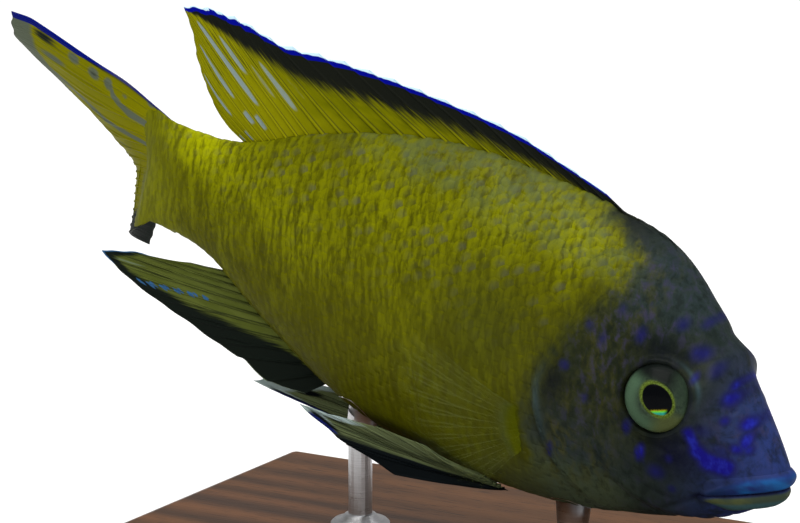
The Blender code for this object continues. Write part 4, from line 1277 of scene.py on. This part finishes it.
def make_dorsal(group):
    """The dorsal fin: 16 spines with flapped membranes between, then 10 branched rays. Yellow below,
    smoky black outside, a blue line along the edge and a white fringe on the flaps. In the soft rear
    part every other membrane has a long grey-violet streak, with a short dash under it."""
    share = np.linspace(0.0, 1.0, 351)[:, None]
    numbers = share * 25
    spiny = ramp(16.2, 15.2, numbers)
    extra = lappets(numbers, spiny, 0.0065) * ramp(0.0, 1.5, numbers)
    station, height, from_edge, out = middle_fin_grid(DORSAL_RAYS, BACK_LINE, 1, share, extra)
    knots = (0.50, 0.583, 0.666, 0.720, 0.749, 0.790, 0.834)
    back = np.interp(share, knots, (0.0, 0.004, 0.0080, 0.0105, 0.0110, 0.0050, 0.0))
    rise = np.interp(share, knots, (0.0, 0.0085, 0.0040, -0.0075, -0.0145, -0.0060, 0.0))
    bow = 0.0060 * ramp(0.72, 0.92, share) * np.sin(np.pi * out)
    station = station + back * out**2.2 + bow
    height = height + rise * out**2.2 - 0.5 * bow
    middle = bent(station, 0.0022 * np.sin(station * 26.0) * out**1.5, height)

    front = ramp(0.775, 0.745, share)
    smoky = np.interp(
        share, (0.0, 0.10, 0.35, 0.55, 0.68, 0.74, 0.78), (0.050, 0.062, 0.076, 0.066, 0.034, 0.010, 0.0)
    )
    dark = 1.10 * ramp(2.10, 0.15, from_edge / np.maximum(smoky, 1e-3)) * front
    blue_width = np.interp(share, (0.0, 0.08, 0.56, 0.75, 0.78), (0.014, 0.0190, 0.0165, 0.0090, 0.0))
    white_width = np.interp(share, (0.0, 0.06, 0.50, 0.70, 0.76), (0.004, 0.0068, 0.0064, 0.0034, 0.0))
    white_width = white_width * (1.3 - 0.9 * (numbers - np.floor(numbers)))
    blue, white = (
        ramp(1.15, 0.85, from_edge / np.maximum(width, 1e-4)) * front for width in (blue_width, white_width)
    )
    cell = np.maximum(np.floor(numbers[:, 0]) - FIRST_STREAKED, 0).astype(int)
    cell = np.minimum(cell, len(DORSAL_STREAKS) - 1)
    strength, start, end, dash = np.array(DORSAL_STREAKS)[cell].T[..., None]
    narrow = ramp(start, end, out)
    pointed = 0.30 * (ramp(start + 0.16, start, out) + ramp(end - 0.16, end, out))
    streaks = strength * ramp(0.24 + 0.48 * narrow, 0.66 + 0.34 * narrow, between_rays(numbers) - pointed)
    streaks = streaks * ramp(start - 0.04, start + 0.06, out) * ramp(end + 0.06, end - 0.06, out)
    dashes = 0.9 * ramp(0.15, 0.55, between_rays(numbers)) * peak(out, dash, 0.055, 4) * (dash > 0.01)
    streaks = np.maximum(streaks, dashes) * ramp(0.50, 0.62, share)
    ink = stacked(dark * (1 - white), blue + white, 0.95 * streaks)
    material = fin_material("dorsal fin", group, DORSAL_COLOURS, 0.70)
    glow = 0.85 * ramp(0.50, 0.72, share)
    fin_plate("dorsal_fin", material, middle, numbers, 1 - spiny, ink, 0.0032, glow=glow)


def make_anal(group):
    """The anal fin: 3 spines and 8 branched rays. Black in front and below, grey-olive with dark rays
    above, a broken turquoise-blue line towards its dark blue tip and a thin pale fringe."""
    share = np.linspace(0.0, 1.0, 221)[:, None]
    numbers = share * 11
    spiny = ramp(2.8, 2.2, numbers)
    extra = lappets(numbers, spiny, 0.003) - 0.016 * ramp(1.2, 0.0, numbers)
    station, height, from_edge, out = middle_fin_grid(ANAL_RAYS, BELLY_LINE, -1, share, extra)
    middle = bent(station, 0.0025 * np.sin(station * 22.0 + 1.0) * out**1.5, height)
    black = 0.46 - 0.16 * ramp(0.8, 0.0, out) + 0.15 * ramp(0.62, 1.0, out)
    dark = greatest(
        1.1 * ramp(black + 0.14, black - 0.16, share) * ramp(0.0, 0.22, out),
        0.9 * ramp(0.80, 0.96, out) * ramp(0.92, 0.74, share),
        0.42 * (1 - between_rays(numbers)),
    )
    line = 1.1 * peak(share, 0.60 - 0.10 * out, 0.030) * ramp(0.24, 0.40, out) * ramp(0.96, 0.90, out)
    blue = line * (0.50 + 0.30 * np.sin(out * 62.0 + share * 40.0) + 0.32 * np.sin(out * 113.0 + 2.0))
    blue_tip = 0.8 * ramp(0.94, 1.0, out) * ramp(0.50, 0.66, share) * ramp(0.95, 0.85, share)
    blue = np.clip(np.maximum(blue, blue_tip), 0.0, 1.0)
    pale_line = 0.50 * peak(share, 0.74 - 0.10 * out, 0.016) * ramp(0.55, 0.75, out)
    fringe = 0.65 * ramp(0.0032, 0.0014, from_edge) * ramp(0.80, 0.55, share)
    ink = stacked(dark * (1 - fringe), blue, np.maximum(fringe, pale_line))
    material = fin_material("anal fin", group, ANAL_COLOURS, 0.60)
    fin_plate("anal_fin", material, middle, numbers, 1 - spiny, ink, 0.0030)


def make_tail(group):
    """The tail fin: 16 main rays that leave the stalk, fork twice and curl to the fish's left. Yellow
    with lengthwise grey-violet lines, grey patches under a blue-black upper margin, a grey-green tip
    and a dull lower half."""
    down = np.linspace(0.0, 1.0, 289)[:, None]
    numbers = down * 17
    out = np.linspace(-0.16, 1.0, TAIL_FIN_STEPS)
    late = np.clip(out, 0.0, 1.0) ** 8
    longer = 0.006 * np.cos(2 * np.pi * numbers) - 0.006
    longer = longer + 0.050 * peak(down, 0.09, 0.10, 4) + 0.034 * peak(down, 0.14, 0.06)
    narrow = 0.03 + 0.94 * down
    inner = narrow + (down - narrow) * ramp(-0.1, 0.1, out)
    reach = (on_tail(inner, 1.0) - on_tail(inner, 0.97)) / 0.03
    middle = on_tail(inner, out) + (longer * late)[..., None] * reach
    lower = ramp(0.06, 0.65, out) * peak(down, 0.27, 0.23)
    back = ramp(0.02, 0.35, out) * peak(down, 0.48, 0.30)
    upper = ramp(0.02, 0.35, out) * peak(down, 0.0, 0.15) * ramp(1.02, 0.88, out)
    fall = 0.0120 * lower + 0.0040 * late * ramp(0.16, 0.0, down) - 0.0065 * upper
    middle = middle - stacked(0.0095 * back, 0.0, fall)

    first = np.interp(out, (0.05, 0.09, 0.17, 0.28, 0.36, 0.40), (0.170, 0.167, 0.158, 0.150, 0.120, 0.075))
    second = np.interp(out, (0.10, 0.19, 0.54, 0.83, 0.95), (0.300, 0.280, 0.235, 0.180, 0.165))
    rooted = ramp(0.05, 0.15, out)
    tip = ramp(0.86, 0.95, out + 0.12 * down) * ramp(0.34, 0.20, down)
    pale = greatest(
        hills(down, out, TAIL_SPOTS, np.maximum),
        1.10 * peak(down, first, 0.021) * ramp(0.02, 0.07, out) * ramp(0.42, 0.38, out),
        1.00 * peak(down, second, 0.014) * rooted,
        0.46 * peak(down, second + 0.09, 0.010) * rooted,
        0.22 * ramp(0.75, 0.95, between_rays(numbers)) * ramp(0.44, 0.50, down) * ramp(0.86, 0.76, down),
        0.95 * tip,
        0.30 * ramp(0.965, 1.0, out) * ramp(0.10, 0.20, down) * ramp(0.60, 0.45, down),
    )
    pale = np.clip(pale * ramp(0.90, 0.80, down), 0.0, 1.0)
    dark = ramp(0.030, 0.012, down) * (0.45 + 0.55 * ramp(0.35, 0.60, out))
    dark = dark + 0.50 * ramp(0.44, 0.62, down) * ramp(0.30, 0.60, out)
    dark = dark + hills(down, out, TAIL_SMUDGES) + ramp(0.76, 0.92, down) * ramp(0.0, 0.15, out)
    thicker = ramp(0.48, 0.62, out)
    blue = (0.58 + 0.52 * thicker) * ramp(0.018 + 0.014 * thicker, 0.008 + 0.010 * thicker, down)
    ink = stacked(np.clip(dark, 0.0, 1.0) * (1 - 0.85 * tip), blue, pale)
    material = fin_material("tail fin", group, TAIL_COLOURS, 0.28)
    clear = ramp(0.24, 0.42, np.linspace(0.0, 1.0, TAIL_FIN_STEPS))
    fin_plate(
        "tail_fin", material, middle, numbers, 1.0, ink, 0.0024 * clear,
        thin=0.0004 + 0.0007 * clear, glow=0.5 * ramp(0.45, 0.15, down),
    )


def paired_grid(side, roots, tips, share, numbers, sink):
    """Middle points of a fin of a pair: rays between root and tip curves, rippled at the edge and
    bowed outwards, with their roots carried into the body."""
    out = np.linspace(0.0, 1.0, FLAT_FIN_STEPS)
    reach = out + 0.010 * np.cos(2 * np.pi * numbers) * out**6
    x, y, z = (
        root + (tip - root) * reach for root, tip in zip(knots_at(roots, share), knots_at(tips, share))
    )
    y = y + PAIRED_FIN_BOW * np.sin(np.pi * out) - sink * (1 - out) ** 4
    return bent(x, side * y, z)


def make_paired(group):
    """The pectoral fins, clear fans with fine forked rays on a yellow root, and the pelvic fins, each a
    blue-black leading edge, then grey-green membrane with dark rays and a pale, dark-spotted tip."""
    pectoral = fin_material("pectoral fin", group, PECTORAL_COLOURS, 0.2, alpha=(0.05, 0.44))
    pelvic = fin_material("pelvic fin", group, PELVIC_COLOURS, 0.70)
    share = np.linspace(0.0, 1.0, 225)[:, None]
    out = np.linspace(0.0, 1.0, FLAT_FIN_STEPS)
    fan_ink = stacked(0 * share, 0.0, 0.8 * ramp(0.22, 0.02, out))
    fan_rays, belly_rays = share * 14, share * 6
    spots = hill(out, share, 0.93, 0.32, 0.04, 0.08) + hill(out, share, 0.84, 0.50, 0.05, 0.05)
    dark = np.clip(np.maximum(1.1 * ramp(0.34, 0.14, share), 1.1 * spots), 0.0, 1.0)
    dark = np.maximum(dark, 0.40 * (1 - between_rays(belly_rays)) * ramp(0.95, 0.80, out))
    pale = 0.90 * ramp(0.80, 0.94, out) * ramp(0.24, 0.38, share) * ramp(0.80, 0.60, share)
    blue = 0.9 * hill(out, share, 0.97, 0.30, 0.04, 0.08) + 0.45 * hill(out, share, 0.5, 0.24, 0.3, 0.02)
    belly_ink = stacked(dark, blue, pale)
    for word, side in SIDES.items():
        middle = paired_grid(side, SIDE_FIN_ROOTS, SIDE_FIN_TIPS, share, fan_rays, 0.016)
        node = f"pectoral_fin_{word}"
        fin_plate(node, pectoral, middle, fan_rays, 1.0, fan_ink, 0.0016, thin=0.0006)
        middle = paired_grid(side, BELLY_FIN_ROOTS, BELLY_FIN_TIPS[word], share, belly_rays, 0.012)
        branching = ramp(0.5, 1.0, belly_rays)
        node = f"pelvic_fin_{word}"
        fin_plate(node, pelvic, middle, belly_rays, branching, belly_ink, 0.0036)


# Eyes

def make_eyes(material):
    """Each eye: rings about its axis from the middle of the pupil out and round behind. The iris is
    nearly flat with a low ring at the pupil, the pupil bulges and sits a little high and forward, and
    the back is half a ball."""
    out = np.concatenate([
        np.linspace(0.02, 0.42, 12), np.linspace(0.435, 0.53, 7), np.linspace(0.56, 0.995, 22),
    ])
    front = EYE_DEPTH * (1 - out**4) ** 0.5 + 0.0030 * np.sqrt(np.clip(1 - (out / 0.44) ** 2, 0.0, 1.0))
    front = front + 0.0008 * peak(out, 0.50, 0.035) - 0.0012 * peak(out, 0.72, 0.12)
    behind = np.linspace(0.0, 0.92, 10)[1:] * np.pi / 2
    rim = np.append(out, np.ones(behind.size))[:, None]
    radius = np.append(out, np.cos(behind))[:, None]
    off = np.append(front, -0.9 * EYE_DEPTH * np.sin(behind))[:, None]
    shift = np.append(0.05 * ramp(0.92, 0.40, out), 0 * behind)[:, None]
    turn = circle(72)
    east, north = radius * np.cos(turn), radius * np.sin(turn)
    disc = np.append(stacked(rim, east, north).reshape(-1, 3), [[0.0, 0.0, 0.0], [1.0, 0.0, 0.0]], axis=0)
    # Towards the snout, up and outwards, tilted up and then forwards
    forward, raised = EYE_RADIUS * (east + shift), EYE_RADIUS * (north + shift)
    up_y = off * math.cos(EYE_UP) - raised * math.sin(EYE_UP)
    up_z = raised * math.cos(EYE_UP) + off * math.sin(EYE_UP)
    x = forward * math.cos(EYE_FORWARD) + up_y * math.sin(EYE_FORWARD)
    y = up_y * math.cos(EYE_FORWARD) - forward * math.sin(EYE_FORWARD)
    from_middle = section(EYE_STATION, angle_at_height(EYE_STATION, EYE_HEIGHT))[0] - EYE_SINK
    for word, side in SIDES.items():
        rings = tipped(bent(EYE_STATION, side * from_middle, EYE_HEIGHT) + stacked(x, side * y, up_z))
        turned(f"eye_{word}_ball", rings, material, (f"eye_{word}",), {"disc": disc})


# The stand's small parts: radius and height over the base, or under or off the belly, in metres

COLLAR = (
    (0.0018, 0.0), (0.0036, 0.0), (0.0040, 0.0003), (0.0040, 0.0008), (0.0036, 0.0012), (0.0026, 0.0014),
    (0.0021, 0.0020), (0.0018, 0.0021), (0.00155, 0.0021),
)
SADDLE_STEM = ((0.00155, 0.0046), (0.0019, 0.0045), (0.0020, 0.0040), (0.0020, 0.0034))
SADDLE_RIM = ((0.0026, -0.0016), (0.0034, -0.0008), (0.0037, -0.0004), (0.0034, 0.0))
SADDLE_LIFT = 0.0030


def make_stand(steel):
    """A collar where each rod meets the base, and a small saddle that follows the belly on its top."""
    turn = circle(64)
    for word, station in ROD_STATIONS.items():
        touch = tipped(bent(station, 0.0, through(BELLY_LINE, station)))

        def ring(radius, height):
            """A level circle round the rod."""
            return stacked(touch[0] + radius * np.cos(turn), radius * np.sin(turn), height)

        collar = [ring(radius, BASE_TOP + height) for radius, height in COLLAR]
        turned(f"stand_collar_{word}", collar, steel)
        saddle = [ring(radius, touch[2] - drop) for radius, drop in SADDLE_STEM]
        half = float(through(HALF_WIDTH, station))
        for radius, off in SADDLE_RIM:
            share = radius / STANDARD_LENGTH
            around = np.pi - share * np.sin(turn) / half
            lift = SADDLE_LIFT + off / STANDARD_LENGTH
            saddle.append(on_skin(station - share * np.cos(turn), around, lift))
        turned(f"stand_saddle_{word}", saddle, steel)


# Light, floor and camera

CAMERA_PLACE = (0.232792, -0.418228, 0.150775)
CAMERA_AIM = (-0.497196, 0.841212, -0.212506)
LENS = 171.0
FLOOR_REACH = 4.0
LIGHTS_AIM = (0.0, 0.0, 0.04)
# Name, place, size, energy, colour
LIGHTS = (
    ("key", (0.05, -0.55, 1.15), 0.9, 13.0, (1.0, 0.99, 0.96)),
    ("fill", (0.9, -0.55, 0.55), 0.8, 3.0, (0.95, 0.98, 1.0)),
    ("top", (-0.1, 0.25, 1.3), 1.2, 11.0, (1.0, 1.0, 1.0)),
)
SKY_STRENGTH = 0.42


def placed(name, data, place=(0.0, 0.0, 0.0), aim=None):
    """An object in the scene, at a place and looking along a direction."""
    made = bpy.data.objects.new(name, data)
    made.location = place
    if aim is not None:
        made.rotation_euler = Vector(aim).to_track_quat("-Z", "Y").to_euler()
    bpy.context.scene.collection.objects.link(made)
    return made


def make_studio():
    """A pale floor, a large soft light above and behind the camera's left, a fill and a pale sky."""
    mesh = bpy.data.meshes.new("floor")
    corners = [(x * FLOOR_REACH, y * FLOOR_REACH, 0) for x, y in ((-1, -1), (1, -1), (1, 1), (-1, 1))]
    mesh.from_pydata(corners, [], [(0, 1, 2, 3)])
    material, w, shader = new_material("floor", {"Roughness": 0.6})
    place = w.node("ShaderNodeTexCoord").outputs["Object"]
    w.put(shader.inputs["Base Color"], w.mix(w.noise(place, 3.0), (242, 242, 242), (246, 246, 246)))
    mesh.materials.append(material)
    floor = placed("floor", mesh)

    for name, place, size, energy, colour in LIGHTS:
        light = bpy.data.lights.new(name, "AREA")
        light.energy, light.size, light.color = energy, size, colour
        placed(name, light, place, Vector(LIGHTS_AIM) - Vector(place))

    world = bpy.data.worlds.new("studio")
    world.use_nodes = True
    sky = world.node_tree.nodes["Background"].inputs
    sky["Color"].default_value = (1.0, 1.0, 1.0, 1.0)
    sky["Strength"].default_value = SKY_STRENGTH
    bpy.context.scene.world = world

    camera = bpy.data.cameras.new("camera")
    camera.lens, camera.sensor_width, camera.clip_start = LENS, 36.0, 0.01
    bpy.context.scene.camera = placed("camera", camera, CAMERA_PLACE, CAMERA_AIM)
    bpy.context.scene.view_settings.view_transform = "Standard"


def repaint(node, material):
    """Gives a CAD node one better material."""
    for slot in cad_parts[node].material_slots:
        slot.material = material


def main():
    """Builds every piece around the frame."""
    marks, fins = markings_group(), fin_group()
    make_skin(body_material("fish skin", marks, 0.00006))
    make_coats(body_material("scales", marks, 0.00003))
    make_eyes(eye_material())
    for make_fin in (make_dorsal, make_anal, make_tail, make_paired):
        make_fin(fins)
    steel = steel_material()
    make_stand(steel)
    repaint("stand_base", walnut_material())
    repaint("stand_rod_front", steel)
    repaint("stand_rod_rear", steel)
    make_studio()


main()
